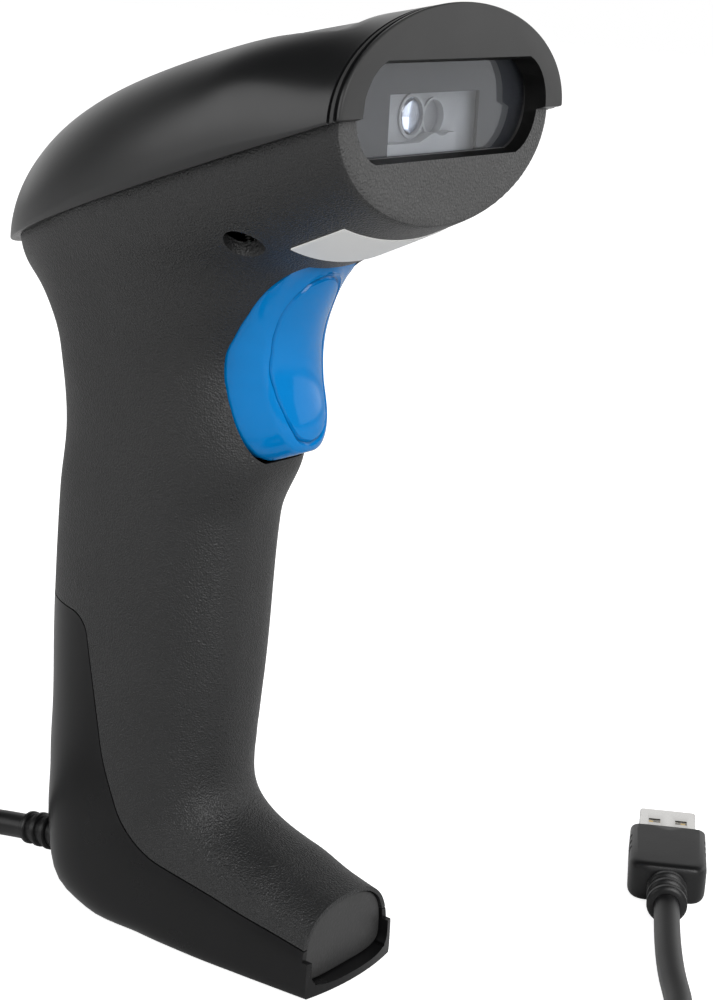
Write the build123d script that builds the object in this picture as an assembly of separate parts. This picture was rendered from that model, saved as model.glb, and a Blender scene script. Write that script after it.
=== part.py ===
"""Handheld barcode scanner standing on its foot, with its coiled USB lead.

Millimetres. +Z is up, the scan window looks towards -Y, X runs across the head.
The origin lies on the floor under the middle of the scanner's own outline.
"""

import math
import os

from build123d import *

os.makedirs("parts", exist_ok=True)

# ---------------------------------------------------------------- head
HEAD_LENGTH = 96.0  # nose face to the rear tip of the top cover
HEAD_HALF_WIDTH = 33.0  # top cover, widest at the nose
HEAD_PITCH = 19.3  # the seam rises this many degrees towards the nose
SEAM_HEIGHT = 162.2  # seam above the floor at the nose face
CROWN_NOSE = 18.0  # cover above the seam at the nose
CROWN_SWELL = 2.4  # extra cover height over the grip
BELLY_NOSE = 18.3  # body below the seam at the nose
BELLY_SWELL = 3.7  # extra body depth over the grip
PLAN_START = 0.07  # share of the head's length with parallel sides
PLAN_POWER = 2.55  # how late the plan outline closes to the rear tip
COVER_OVERHANG = 1.75  # the cover's lip stands proud of the body all round
FACE_SETBACK = 1.6  # the body's nose face lies behind the cover's
FACE_WALL = 3.8  # nose wall, from the cover's face to its inside
COVER_WALL = 2.6
BODY_WALL = 2.2
RIM_GROOVE_BACK = 2.2  # thin groove round the cover, behind its face
RIM_GROOVE_WIDTH = 0.8
RIM_GROOVE_DEPTH = 0.5

# ---------------------------------------------------------------- grip and foot
# Drop below the nose's seam, front edge, rear edge and half-width of the grip's
# level sections, and the same for the lowest one, by its height above the floor.
GRIP_SECTIONS = [
    (22.2, -30.0, 36.0, 26.5),
    (34.2, -19.5, 39.0, 22.2),
    (49.2, -11.7, 34.5, 17.3),
    (64.7, -15.6, 33.4, 16.0),
    (78.2, -10.6, 34.6, 15.7),
]
GRIP_FOOT = (56.0, -8.9, 35.6, 15.4)
# The grip turns into the foot round this line: angle down from level, distance
# to the inner corner, distance to the heel or sole, half-width, outer roundness
# and where the section is widest, as a share from its outer end.
BEND_Y = -19.5
BEND_Z = 42.0
BEND_SECTIONS = [
    (0.0, 11.9, 54.9, 15.3, 2.3, 0.45),
    (14.0, 12.6, 56.6, 15.3, 2.4, 0.45),
    (28.0, 14.2, 60.8, 15.3, 2.8, 0.43),
    (37.0, 15.6, 63.2, 15.2, 3.3, 0.41),
    (46.0, 17.0, 58.8, 15.0, 4.2, 0.39),
    (60.0, 18.2, 49.2, 14.8, 5.5, 0.37),
    (75.0, 18.7, 44.6, 14.5, 6.0, 0.35),
    (90.0, 19.8, 43.0, 14.2, 6.0, 0.35),
]
# Place along the foot, height of its crown and half-width.
TOE_SECTIONS = [(-28.0, 19.0, 13.7), (-40.0, 15.8, 13.0)]
HOLLOW_RINGS = (0, 1, 2, 3, 4, 5, 8, 10, 13, 15)  # sections the faceted inside keeps
GRIP_POWER = 2.5  # roundness of the grip's front and of the foot's crown
SOLE_HEIGHT = 0.8  # underside of the base shell above the floor
TOE_Y = -34.6  # front end of the body shell on the foot
LIP_REACH = 2.6  # the base shell's lip stands out past the toe
LIP_BOW_RADIUS = 60.0
LIP_TOP = 7.8
RIM_WALL = 1.5  # visible rim round the toe's end plate
PART_GAP = 0.15  # parting line between the body and the base shell
# Upper edge of the base shell in side view, and its corner radii.
BASE_EDGE = [(20.3, 63.6), (15.2, 34.0), (9.0, 17.0)]
BASE_EDGE_REAR = (50.0, 64.6)
BASE_EDGE_TOE = (-45.0, 8.9)
BASE_EDGE_RADII = (5.0, 40.0, 15.0)

# ---------------------------------------------------------------- window
WINDOW_RISE = 1.1  # window centre above the seam at the nose
WINDOW_HALF_HEIGHT = 8.3
WINDOW_HALF_STRAIGHT = 21.0  # straight part of its long edges
WINDOW_HALF_WIDTH = 27.0  # to the middle of the rounded ends
GLASS_RECESS = 4.5  # glass behind the cover's face
GLASS_THICKNESS = 1.5
GLASS_EDGE = 1.1  # glass hidden under the frame, all round
FRAME_EDGE = 1.9
FRAME_DEPTH = 2.6

# ---------------------------------------------------------------- trigger
PIN_Y = -6.5
PIN_DROP = 35.2  # pin below the nose's seam
PIN_RADIUS = 1.5
PIN_CLEARANCE = 0.05
TRIGGER_HALF_WIDTH = 11.0
TRIGGER_CLEARANCE = 0.35
TRIGGER_BOTTOM_RADIUS = 31.2  # lowest edge, measured from the pin
TRIGGER_WALL = 2.0
TRIGGER_REAR = -3.0
TRIGGER_PULL = 7.0  # degrees
CHEEK_THICKNESS = 2.0
# Side view of the trigger's finger side, from the top to the bottom lobe, as
# places measured from the pin.
TRIGGER_FRONT = [
    (-17.1, 6.2),
    (-13.6, -3.0),
    (-11.9, -10.5),
    (-12.2, -17.5),
    (-13.7, -22.0),
    (-13.9, -25.5),
    (-11.5, -28.6),
    (-6.5, -30.5),
]
TRIGGER_ROOM = [(-7.0, -27.0), (-4.5, -28.0), (11.5, -28.0), (11.5, -7.0), (-3.5, -7.0), (-5.5, -15.0)]
# Front view of the trigger: height from the pin and half-width.
TRIGGER_WIDTHS = [
    (7.5, 7.0),
    (6.0, 8.6),
    (4.0, 9.9),
    (0.5, 11.0),
    (-8.0, 11.0),
    (-12.5, 10.5),
    (-19.5, 9.7),
    (-23.0, 9.1),
    (-26.5, 7.9),
    (-28.5, 6.0),
    (-30.0, 3.4),
    (-32.0, 3.0),
]
# Places across the trigger and how far its finger side lies behind the middle.
TRIGGER_CROWN = [(0.0, 0.0), (3.8, 0.6), (7.5, 2.4), (10.0, 4.2), (11.0, 6.8)]
TRIGGER_SWEEP = 1.1  # room under the trigger's lower corners, which drop as it turns
OPENING_TOP = [(4.0, 8.0), (-10.5, 7.6), (-18.1, 7.2)]  # over the trigger, from the pin
OPENING_CORNER = (-18.6, 21.0)  # front corner from the pin, and its drop below the seam
CHEEK_REACH = (-16.0, 6.0, -9.0, 4.0)  # back, front, low and high ends from the pin
FINGER_STEPS = 13  # flats down the finger side

# ---------------------------------------------------------------- switch
SWITCH_BELOW_PIN = 9.0
NOSE_RADIUS = 1.0
NOSE_REACH = 6.5  # actuator nose behind the pin
SWITCH_GAP = 0.15
PLUNGER_RADIUS = 1.6
PLUNGER_SHOWING = 2.4
SWITCH_SIZE = 7.0
SWITCH_DEPTH = 4.0
SWITCH_BOARD = (20.0, 1.6, 30.0)
SPRING_BELOW_PIN = 20.0
SPRING_RADIUS = 2.6
SPRING_WIRE = 0.35
SPRING_TURNS = 5
SPRING_STEPS = 10
SPRING_PEG = 1.8
SPRING_FRONT = -12.6

# ---------------------------------------------------------------- inside the head
BOARD_THICKNESS = 1.6
BOARD_DROP = 9.6  # underside of the main board below the seam
BOARD_FRONT = 12.0
BOARD_REAR = 62.0
BOARD_HALF_WIDTH = 17.4
BOARD_TOP = BOARD_THICKNESS - BOARD_DROP
POST_RADIUS = 2.5
POST_X = 14.5
POST_FRONT = 38.0
POST_REAR = 57.0
SCREW_SHANK = 1.1
SCREW_HEAD = 2.3
SCREW_HEAD_HEIGHT = 1.5
ENGINE_FRONT = 13.0
ENGINE_LENGTH = 20.0
ENGINE_HALF_WIDTH = 12.5
ENGINE_TOP = 5.5
ENGINE_WALL = 1.6
ENGINE_POCKET = 9.0
LENS_RADIUS = 4.0
LENS_LENGTH = 7.0
LENS_X = -3.5
LENS_Z = -0.6
TUNNEL_X = 22.25
TUNNEL_BACK = 32.9
TUNNEL_RADIUS = 4.4
TUNNEL_BORE = 3.3
TUNNEL_TOP = -2.8
TUNNEL_FLOOR = 2.0
COVER_BOSS_RADIUS = 3.5

# ---------------------------------------------------------------- sole
PAD_LENGTH = 50.0
PAD_WIDTH = 20.0
PAD_CENTRE = -3.0
PAD_THICKNESS = 1.6
BASE_SCREW_X = 6.5
BASE_SCREW_Y = -17.0
BASE_SCREW_SEAT = 3.2

# ---------------------------------------------------------------- label
STICKER_SIZE = (36.0, 13.4)
STICKER_BACK = 21.7  # middle of the label behind the nose

# ---------------------------------------------------------------- lead
CORD_DIAMETER = 5.2
BOOT_HEIGHT = 8.0  # where the boot's axis leaves the heel
BOOT_Y = 32.6
BOOT_DROOP = 8.0  # degrees below level
BOOT_LENGTH = 15.0
BOOT_ROOT = 3.9
BOOT_END = 3.2
BOOT_NECK = 3.5
BOOT_FLANGE = 5.2
COIL_CENTRE = (-90.0, -50.0)
COIL_RADIUS = 36.0  # centre line of the outer turn
COIL_PITCH = 7.0
COIL_RISE = 5.8  # from one layer to the next
COIL_TURNS_IN = 2.5
COIL_TURNS_OUT = 2.25
TIE_THICKNESS = 0.8
TIE_WIDTH = 9.0
TIE_CLEARANCE = 0.3
CORD_FACETS = 6  # sides of the free lead
COIL_FACETS = 4  # sides of the coiled lead
PLUG_TAIL = (62.0, -69.4)
PLUG_HEADING = 28.5  # degrees from +X towards +Y
PLUG_HEIGHT = 4.2
PLUG_BODY = (16.0, 22.0, 8.4)
PLUG_RELIEF_LENGTH = 10.0
SHELL_SIZE = (12.0, 4.5)
SHELL_SHOWING = 12.8
SHELL_WALL = 0.3
CORD_OUT = [
    (0.0, 60.0, 4.1),
    (-6.5, 72.0, 2.8),
    (-20.0, 81.0, 2.8),
    (-43.0, 81.5, 2.8),
    (-69.0, 70.5, 2.8),
    (-92.0, 52.0, 2.8),
    (-111.0, 28.5, 2.8),
    (-124.0, 2.0, 2.8),
    (-128.0, -25.0, 2.9),
]
CORD_IN = [
    (-75.0, -88.0, 8.2),
    (-53.0, -90.0, 4.6),
    (-28.0, -96.5, 2.8),
    (-2.0, -101.0, 2.8),
    (24.0, -94.0, 2.8),
    (43.0, -79.7, 3.2),
]
CORD_INSIDE = [
    (0.0, 20.0, 130.0),
    (2.0, 23.5, 108.0),
    (-2.0, 21.0, 84.0),
    (1.0, 19.5, 58.0),
    (0.0, 15.0, 34.0),
    (0.0, 18.5, 16.5),
]

# ---------------------------------------------------------------- shared values
NOSE_Y = -HEAD_LENGTH / 2
CORD_RADIUS = CORD_DIAMETER / 2
PIN_Z = SEAM_HEIGHT - PIN_DROP
NOSE_BACK = PIN_Y + NOSE_REACH
PLUNGER_FRONT = NOSE_BACK + SWITCH_GAP
SWITCH_Y = PLUNGER_FRONT + PLUNGER_SHOWING
BOARD_Y = SWITCH_Y + SWITCH_DEPTH
SWITCH_Z = PIN_Z - SWITCH_BELOW_PIN
SPRING_Z = PIN_Z - SPRING_BELOW_PIN
COIL_BOTTOM = TIE_THICKNESS + 0.2 + CORD_RADIUS
COIL_TOP = COIL_BOTTOM + COIL_RISE
BELOW = 300.0  # larger than the part
SIDE_STEPS = (0, 18, 42, 66)  # degrees round a quarter of a section
ARCH_STEPS = 12  # sides of the head's arched sections
HEAD_STEPS = 10  # sections along the head
SHANK_SIDES = 8  # flats of screw shanks and their holes
POST_SIDES = 10  # flats of posts, bosses and round seats
HEAD = Location((0, NOSE_Y, SEAM_HEIGHT), (-HEAD_PITCH, 0, 0))
BOOT = Location((0, BOOT_Y, BOOT_HEIGHT), (-BOOT_DROOP, 0, 0))
PLUG = Location((PLUG_TAIL[0], PLUG_TAIL[1], PLUG_HEIGHT), (0, 0, PLUG_HEADING - 90))


def head(x, y, z):
    """A place in the head's own frame: y back along the seam, z up from it."""
    return HEAD * Location((x, y, z))


def box(low, high):
    """A block between two corners."""
    size = [b - a for a, b in zip(low, high)]
    middle = [(a + b) / 2 for a, b in zip(low, high)]
    return Location(middle) * Box(*size)


def rod(radius, start, end, axis, sides=0):
    """A round or many-sided bar along "x", "y" or "z", from start to end."""
    turn = {"x": (0, 90, 0), "y": (-90, 0, 0), "z": (0, 0, 0)}[axis]
    middle = (start + end) / 2
    place = {"x": (middle, 0, 0), "y": (0, middle, 0), "z": (0, 0, middle)}[axis]
    if sides:
        bar = extrude(RegularPolygon(radius, sides), amount=(end - start) / 2, both=True)
    else:
        bar = Cylinder(radius, end - start)
    return Location(place, turn) * bar


def side_prism(points, half_width):
    """A side-view outline, given as (y, z) points, extruded both ways across X."""
    outline = Polyline(*points, close=True)
    face = Plane.YZ * make_face(outline)
    return extrude(face, amount=half_width, both=True)


def ringed(profile, sides=14):
    """Many-sided stack along y from (start, end, start radius, end radius) steps."""
    stack = None
    for start, end, near, far in profile:
        rings = []
        for y, radius in ((start, near), (end, far)):
            plane = Plane(origin=(0, y, 0), x_dir=(0, 0, 1), z_dir=(0, 1, 0))
            rings.append((plane * RegularPolygon(radius, sides)).wire())
        piece = Solid.make_loft(rings, ruled=True)
        stack = piece if stack is None else stack + piece
    return stack


# ---------------------------------------------------------------- outer forms


def seam_z(y):
    return SEAM_HEIGHT - (y - NOSE_Y) * math.tan(math.radians(HEAD_PITCH))


def plan_share(u):
    """Half-width at share u of the head's length, as a share of the widest."""
    closing = max(0.0, (u - PLAN_START) / (1 - PLAN_START))
    return math.sqrt(1 - closing**PLAN_POWER)


def arch_points(y, half_width, height, steps):
    """Half an ellipse standing on, or hanging from, the seam."""
    angles = [math.pi * i / steps for i in range(steps + 1)]
    return [
        Vector(half_width * math.cos(a), y, seam_z(y) + height * math.sin(a))
        for a in angles
    ]


def fine_arch(y, half_width, height):
    return Wire.make_polygon(arch_points(y, half_width, height, ARCH_STEPS))


def plain_arch(y, half_width, height):
    return Wire.make_polygon(arch_points(y, half_width, height, 5))


def crown(u):
    """Height of the cover above the seam at share u of its length."""
    swell = CROWN_SWELL * math.sin(math.pi / 2 * min(1.0, u / 0.55))
    return (CROWN_NOSE + swell) * math.sqrt(1 - u**10)


def belly(u):
    """Depth of the body below the seam at share u of its length."""
    swell = BELLY_SWELL * math.sin(math.pi / 2 * min(1.0, u / 0.5))
    return (BELLY_NOSE + swell) * (1 - u**6) ** 0.75


def head_shares(count):
    """Section places along the head, closer together at the rounded rear."""
    return [math.sin(math.pi / 2 * i / count) for i in range(count)] + [0.9995]


def cover_form(inset=0.0):
    """Outside of the top cover, or a skin inset from it."""
    sections = []
    for u in head_shares(HEAD_STEPS):
        y = NOSE_Y + u * (HEAD_LENGTH - inset)
        half_width = (HEAD_HALF_WIDTH - inset) * plan_share(u)
        sections.append(fine_arch(y, half_width, crown(u) - inset * (1 - u**10)))
    return Solid.make_loft(sections, ruled=True)


def belly_form():
    """Outside of the body under the seam."""
    sections = []
    for u in head_shares(HEAD_STEPS):
        y = NOSE_Y + u * (HEAD_LENGTH - COVER_OVERHANG)
        half_width = (HEAD_HALF_WIDTH - COVER_OVERHANG) * plan_share(u)
        sections.append(fine_arch(y, half_width, -belly(u)))
    return Solid.make_loft(sections, ruled=True)


def head_hollow(wall, side_gap, depth, front):
    """Faceted room inside the head; depth gives its height or, below zero, its drop."""
    sections = []
    length = HEAD_LENGTH - side_gap - wall
    for u in (0.0, 0.4, 0.7, 0.88, 0.96):
        y = NOSE_Y + front + u * (length - front)
        half_width = (HEAD_HALF_WIDTH - side_gap - wall) * plan_share(u)
        sections.append(plain_arch(y, half_width, depth(u)))
    return Solid.make_loft(sections, ruled=True)


def ring_points(place, inner, outer, half_width, outer_power, widest, steps):
    """Half of a rounded section, from its inner end to its outer end."""
    turn = outer - (outer - inner) * widest
    half = []
    for angle in steps:
        a = math.radians(angle)
        across = half_width * math.sin(a) ** (2 / GRIP_POWER)
        half.append((across, turn - (turn - inner) * math.cos(a) ** (2 / GRIP_POWER)))
    half.append((half_width, turn))
    for angle in reversed(steps):
        a = math.radians(angle)
        across = half_width * math.sin(a) ** (2 / outer_power)
        half.append((across, turn + (outer - turn) * math.cos(a) ** (2 / outer_power)))
    right = [place(x, r) for x, r in half]
    left = [place(-x, r) for x, r in reversed(half)]
    return right, left


def fine_ring(place, inner, outer, half_width, outer_power, widest):
    right, left = ring_points(
        place, inner, outer, half_width, outer_power, widest, SIDE_STEPS
    )
    return Wire.make_polygon(right + left[1:-1])


def plain_ring(place, inner, outer, half_width, outer_power, widest):
    right, left = ring_points(
        place, inner, outer, half_width, outer_power, widest, (0, 45)
    )
    return Wire.make_polygon(right + left[1:-1])


def limb_rings(inset, ring):
    """Sections of the grip, the bend over the heel and the foot, top to toe."""
    rings = []
    grip = [(SEAM_HEIGHT - drop, *rest) for drop, *rest in GRIP_SECTIONS]
    for z, front, rear, half_width in [*grip, GRIP_FOOT]:
        rings.append(
            ring(
                lambda x, r, z=z: Vector(x, r, z),
                front + inset,
                rear - inset,
                half_width - inset,
                2.3,
                0.45,
            )
        )
    for angle, inner, outer, half_width, power, widest in BEND_SECTIONS:
        along = math.cos(math.radians(angle))
        down = math.sin(math.radians(angle))
        rings.append(
            ring(
                lambda x, r, c=along, s=down: Vector(x, BEND_Y + r * c, BEND_Z - r * s),
                inner + inset,
                outer - inset,
                half_width - inset,
                power,
                widest,
            )
        )
    for y, top, half_width in TOE_SECTIONS:
        rings.append(
            ring(
                lambda x, r, y=y: Vector(x, y, BEND_Z - r),
                BEND_Z - top + inset,
                BEND_SECTIONS[-1][2] - inset,
                half_width - inset,
                BEND_SECTIONS[-1][4],
                BEND_SECTIONS[-1][5],
            )
        )
    return rings


def limb_form():
    """Outside of the grip and foot, with the sole cut level."""
    form = Solid.make_loft(limb_rings(0.0, fine_ring), ruled=True)
    return form - box((-50, -80, -20), (50, 80, SOLE_HEIGHT))


def limb_hollow(wall):
    """Faceted room inside the grip and foot."""
    rings = limb_rings(wall, plain_ring)
    room = Solid.make_loft([rings[i] for i in HOLLOW_RINGS], ruled=True)
    return room - box((-50, -80, -20), (50, 80, SOLE_HEIGHT + wall))


def belly_hollow(wall):
    return head_hollow(
        wall, COVER_OVERHANG, lambda u: -(belly(u) - wall), FACE_WALL
    )


def toe_face(inset, y):
    """The foot's section at y, inset from its skin."""
    low, high = TOE_SECTIONS
    share = (y - low[0]) / (high[0] - low[0])
    top = low[1] + share * (high[1] - low[1])
    half_width = low[2] + share * (high[2] - low[2])
    wire = fine_ring(
        lambda x, r: Vector(x, y, BEND_Z - r),
        BEND_Z - top + inset,
        BEND_Z - SOLE_HEIGHT - inset,
        half_width - inset,
        4.5,
        BEND_SECTIONS[-1][5],
    )
    return Face(wire)


def below_seam():
    return HEAD * box((-BELOW, -BELOW, -BELOW), (BELOW, BELOW, 0))


def base_region(gap):
    """Side-view room that belongs to the base shell, less a parting gap."""
    edge = FilletPolyline(
        (BASE_EDGE_REAR[0], BASE_EDGE_REAR[1] - gap),
        *[(y + gap * 0.8, z - gap) for y, z in BASE_EDGE],
        (BASE_EDGE_TOE[0], BASE_EDGE_TOE[1] - gap),
        radius=BASE_EDGE_RADII,
    )
    low = -20.0
    rest = Polyline(
        edge @ 1,
        (BASE_EDGE_TOE[0], low),
        (BASE_EDGE_REAR[0], low),
        edge @ 0,
    )
    return extrude(Plane.YZ * make_face(edge + rest), amount=50, both=True)


def window_prism(grow, front, back):
    """The window's outline, grown all round, from front to back along Y."""
    half_height = WINDOW_HALF_HEIGHT + grow
    straight = WINDOW_HALF_STRAIGHT + grow / 2
    end = WINDOW_HALF_WIDTH + grow
    outline = [
        Line((-straight, half_height), (straight, half_height)),
        ThreePointArc((straight, half_height), (end, 0), (straight, -half_height)),
        Line((straight, -half_height), (-straight, -half_height)),
        ThreePointArc((-straight, -half_height), (-end, 0), (-straight, half_height)),
    ]
    place = Plane(
        origin=(0, front, SEAM_HEIGHT + WINDOW_RISE), x_dir=(1, 0, 0), z_dir=(0, -1, 0)
    )
    return extrude(place * make_face(outline), amount=front - back)


# ---------------------------------------------------------------- housing


def cover_bosses():
    """Screw bosses that hang from the cover into the body's tunnels."""
    bosses = []
    for side in (-1, 1):
        boss = rod(COVER_BOSS_RADIUS, TUNNEL_TOP, CROWN_NOSE, "z", POST_SIDES)
        bosses.append(head(side * TUNNEL_X, TUNNEL_BACK, 0) * boss)
    return bosses


def make_top_cover():
    outer = cover_form()
    room = head_hollow(
        COVER_WALL, 0.0, lambda u: (crown(u) - COVER_WALL) * math.sqrt(1 - u**6), FACE_WALL
    )
    cover = outer - room
    skin = cover_form(COVER_WALL / 2)
    for boss in cover_bosses():
        upper = boss & skin
        lower = boss & below_seam()
        cover = cover + upper + lower
    groove = box(
        (-BELOW, NOSE_Y + RIM_GROOVE_BACK, 0),
        (BELOW, NOSE_Y + RIM_GROOVE_BACK + RIM_GROOVE_WIDTH, BELOW),
    )
    cover = cover - (groove - cover_form(RIM_GROOVE_DEPTH))
    for side in (-1, 1):
        pilot = rod(SCREW_SHANK, TUNNEL_TOP - 1, 6, "z", SHANK_SIDES)
        cover = cover - head(side * TUNNEL_X, TUNNEL_BACK, 0) * pilot
    return cover - window_room()


def window_room():
    """Opening in the nose wall, and the frame's seat behind it."""
    face = NOSE_Y + FACE_WALL
    seat = window_prism(FRAME_EDGE, face, face + FRAME_DEPTH)
    return window_prism(0, NOSE_Y - 1, face) + seat


def trigger_outline(grow):
    """Room that the trigger passes through in the front of the grip."""
    radius = TRIGGER_BOTTOM_RADIUS + grow
    low = []
    for angle in range(226, 293, 6):
        a = math.radians(angle)
        low.append((PIN_Y + radius * math.cos(a), PIN_Z + radius * math.sin(a)))
    top = [(PIN_Y + y, PIN_Z + z) for y, z in OPENING_TOP]
    corner = PIN_Y + OPENING_CORNER[0]
    return [*low, *top, (corner, seam_z(corner) - OPENING_CORNER[1])]


def trigger_front_form(grow, sweep):
    """The trigger's front-view outline, drawn out along Y."""
    right = []
    for z, half_width in TRIGGER_WIDTHS:
        shift = grow if z > 0 else -(grow + sweep) * min(1.0, -z / 20)
        right.append((half_width + grow, PIN_Z + z + shift))
    left = [(-x, z) for x, z in reversed(right)]
    face = Plane.XZ * make_face(Polyline(*right, *left, close=True))
    return extrude(face, amount=80, both=True)


def body_posts():
    """Screw posts for the main board, in the head's frame."""
    posts = []
    for x in (-POST_X, POST_X):
        for y in (POST_FRONT, POST_REAR):
            post = rod(POST_RADIUS, -45, -BOARD_DROP, "z", POST_SIDES)
            posts.append(head(x, y, 0) * post)
    return posts


def foot_bosses():
    """Screw bosses that come down from the foot's crown."""
    return [
        Location((side * BASE_SCREW_X, BASE_SCREW_Y, 0)) * rod(2.8, 8.0, 30.0, "z", POST_SIDES)
        for side in (-1, 1)
    ]


def nose_trim():
    """Takes the body's nose back behind the cover's face."""
    return box((-BELOW, NOSE_Y - 5, 0), (BELOW, NOSE_Y + FACE_SETBACK, BELOW))


def make_body_shell():
    outer = (belly_form() + limb_form()) & below_seam()
    outer = outer - nose_trim()
    body = outer - belly_hollow(BODY_WALL)
    body = body - limb_hollow(BODY_WALL)
    anchor = limb_hollow(BODY_WALL / 2) + belly_hollow(BODY_WALL / 2)
    anchor = anchor & below_seam()
    ribs = body_posts() + foot_bosses()
    for side in (-1, 1):
        tunnel = rod(TUNNEL_RADIUS, -25, TUNNEL_TOP, "z", POST_SIDES)
        ribs.append(head(side * TUNNEL_X, TUNNEL_BACK, 0) * tunnel)
        low = TRIGGER_HALF_WIDTH + TRIGGER_CLEARANCE + 0.1
        back, front, under, over = CHEEK_REACH
        cheek = box(
            (low, PIN_Y + back, PIN_Z + under),
            (low + CHEEK_THICKNESS, PIN_Y + front, PIN_Z + over),
        )
        ribs.append(cheek if side > 0 else mirror(cheek, about=Plane.YZ))
        rail = box((8.6, BOARD_Y - 2.5, PIN_Z - 29), (20, BOARD_Y + 4.1, PIN_Z - 13))
        ribs.append(rail if side > 0 else mirror(rail, about=Plane.YZ))
    for rib in ribs:
        body = body + (rib & anchor)
    body = body - base_region(0.0)
    body = body - box((-30, -80, -5), (30, TOE_Y, 30))
    body = body - toe_rebate()
    opening = side_prism(
        trigger_outline(TRIGGER_CLEARANCE), TRIGGER_HALF_WIDTH + TRIGGER_CLEARANCE
    )
    body = body - (opening & trigger_front_form(TRIGGER_CLEARANCE, TRIGGER_SWEEP))
    for x in (-1, 1):
        place = head(x * TUNNEL_X, TUNNEL_BACK, 0)
        body = body - place * rod(TUNNEL_BORE, -40, TUNNEL_TOP - TUNNEL_FLOOR, "z", POST_SIDES + 6)
        body = body - place * rod(SCREW_SHANK + 0.3, -10, TUNNEL_TOP + 1, "z", SHANK_SIDES)
        boss = Location((x * BASE_SCREW_X, BASE_SCREW_Y, 0))
        body = body - boss * rod(SCREW_SHANK, 5, 15, "z", SHANK_SIDES)
    for x in (-POST_X, POST_X):
        for y in (POST_FRONT, POST_REAR):
            pilot = rod(SCREW_SHANK, -BOARD_DROP - 8, 0, "z", SHANK_SIDES)
            body = body - head(x, y, 0) * pilot
    body = body - pin_place() * rod(PIN_RADIUS, -15, 15, "x")
    return body - make_switch_board() - window_room()


def toe_rebate():
    """Recess for the end plate, open towards the toe."""
    back = TOE_Y + 2.1
    return extrude(toe_face(RIM_WALL, back), amount=-8, dir=(0, 1, 0))


def make_base_shell():
    base = limb_form() & base_region(PART_GAP)
    base = base - limb_hollow(BODY_WALL)
    lip_y = TOE_Y - LIP_REACH
    front = box((-30, lip_y - 20, -5), (30, TOE_Y + 3, 30))
    bow = Location((0, lip_y + LIP_BOW_RADIUS, 12)) * Cylinder(LIP_BOW_RADIUS, 60)
    base = base - (front - bow)
    base = base - box((-30, lip_y - 20, LIP_TOP), (30, TOE_Y, 30))
    base = base - toe_rebate()
    pad = sole_pad_form(PAD_THICKNESS + 0.01)
    base = base - pad
    for side in (-1, 1):
        boss = Location((side * BASE_SCREW_X, BASE_SCREW_Y, 0))
        base = base + boss * rod(3.6, 2.0, 7.9, "z", POST_SIDES)
        base = base - boss * rod(SCREW_HEAD + 0.3, -1, BASE_SCREW_SEAT + 1.0, "z", POST_SIDES)
        base = base - boss * rod(SCREW_SHANK + 0.2, 0, 10, "z", SHANK_SIDES)
    hook_root = box((-5, 27.0, 55.0), (5, 34.0, 60.0))
    hook = box((-5, 27.0, 55.0), (5, 28.6, 70.0))
    base = base + (hook_root & limb_form()) + hook
    base = base - BOOT * rod(BOOT_NECK, -12, 12, "y", 16)
    return base - BOOT * rod(BOOT_FLANGE + 0.3, -14, -BODY_WALL, "y", 16)


def sole_pad_form(height):
    face = Location((0, PAD_CENTRE, 0)) * RectangleRounded(PAD_WIDTH, PAD_LENGTH, 6)
    return extrude(face, amount=height)


def make_toe_end_plate():
    return extrude(toe_face(RIM_WALL + 0.1, TOE_Y + 2.1), amount=-1.6, dir=(0, 1, 0))


# ---------------------------------------------------------------- window and engine


def make_window_frame():
    front = NOSE_Y + FACE_WALL
    glass = NOSE_Y + GLASS_RECESS
    ring = window_prism(FRAME_EDGE, front, front + FRAME_DEPTH)
    ring = ring - window_prism(0, front - 1, front + FRAME_DEPTH + 1)
    return ring - window_prism(GLASS_EDGE, glass, front + FRAME_DEPTH + 1)


def make_scan_window():
    glass = NOSE_Y + GLASS_RECESS
    return window_prism(GLASS_EDGE, glass, glass + GLASS_THICKNESS)


def make_engine_chassis():
    half = ENGINE_HALF_WIDTH
    back = ENGINE_FRONT + ENGINE_LENGTH
    block = box((-half, ENGINE_FRONT, BOARD_TOP), (half, back, ENGINE_TOP))
    pocket = box(
        (-half + ENGINE_WALL, ENGINE_FRONT - 1, BOARD_TOP + ENGINE_WALL),
        (half - ENGINE_WALL, ENGINE_FRONT + ENGINE_POCKET, ENGINE_TOP - ENGINE_WALL),
    )
    slot = box((-half - 1, back - 7, BOARD_TOP + 3), (-half + 1.2, back - 2, ENGINE_TOP - 3))
    return HEAD * (block - pocket - slot - mirror(slot, about=Plane.YZ))


def make_lens_barrel():
    back = ENGINE_FRONT + ENGINE_POCKET
    barrel = rod(LENS_RADIUS, back - LENS_LENGTH, back, "y", 20)
    mouth = back - LENS_LENGTH
    barrel = barrel - rod(LENS_RADIUS - 0.8, mouth - 1, mouth + 1.6, "y", 20)
    return head(LENS_X, 0, LENS_Z) * barrel


def make_engine_lens():
    """Domed front lens seated in the barrel."""
    seat = ENGINE_FRONT + ENGINE_POCKET - LENS_LENGTH + 1.6
    wide = LENS_RADIUS - 0.8
    steps = [(-1.1, -0.9, wide * 0.4, wide * 0.75), (-0.9, -0.45, wide * 0.75, wide), (-0.45, 0, wide, wide)]
    return head(LENS_X, seat, LENS_Z) * ringed(steps, 12)


def make_engine_mirror():
    """Small folding mirror beside the lens, standing on the chassis floor."""
    plate = box((-3.6, -0.5, 0), (3.6, 0.5, 7.5))
    floor = BOARD_TOP + ENGINE_WALL
    return head(6.0, ENGINE_FRONT + 5.2, floor) * Location((0, 0, 0), (0, 0, 32)) * plate


def make_engine_led():
    """Illumination lamp on the pocket's back wall."""
    back = ENGINE_FRONT + ENGINE_POCKET
    lamp = rod(1.2, back - 1.8, back, "y", SHANK_SIDES)
    return head(-9.0, 0, -0.6) * lamp


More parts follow.
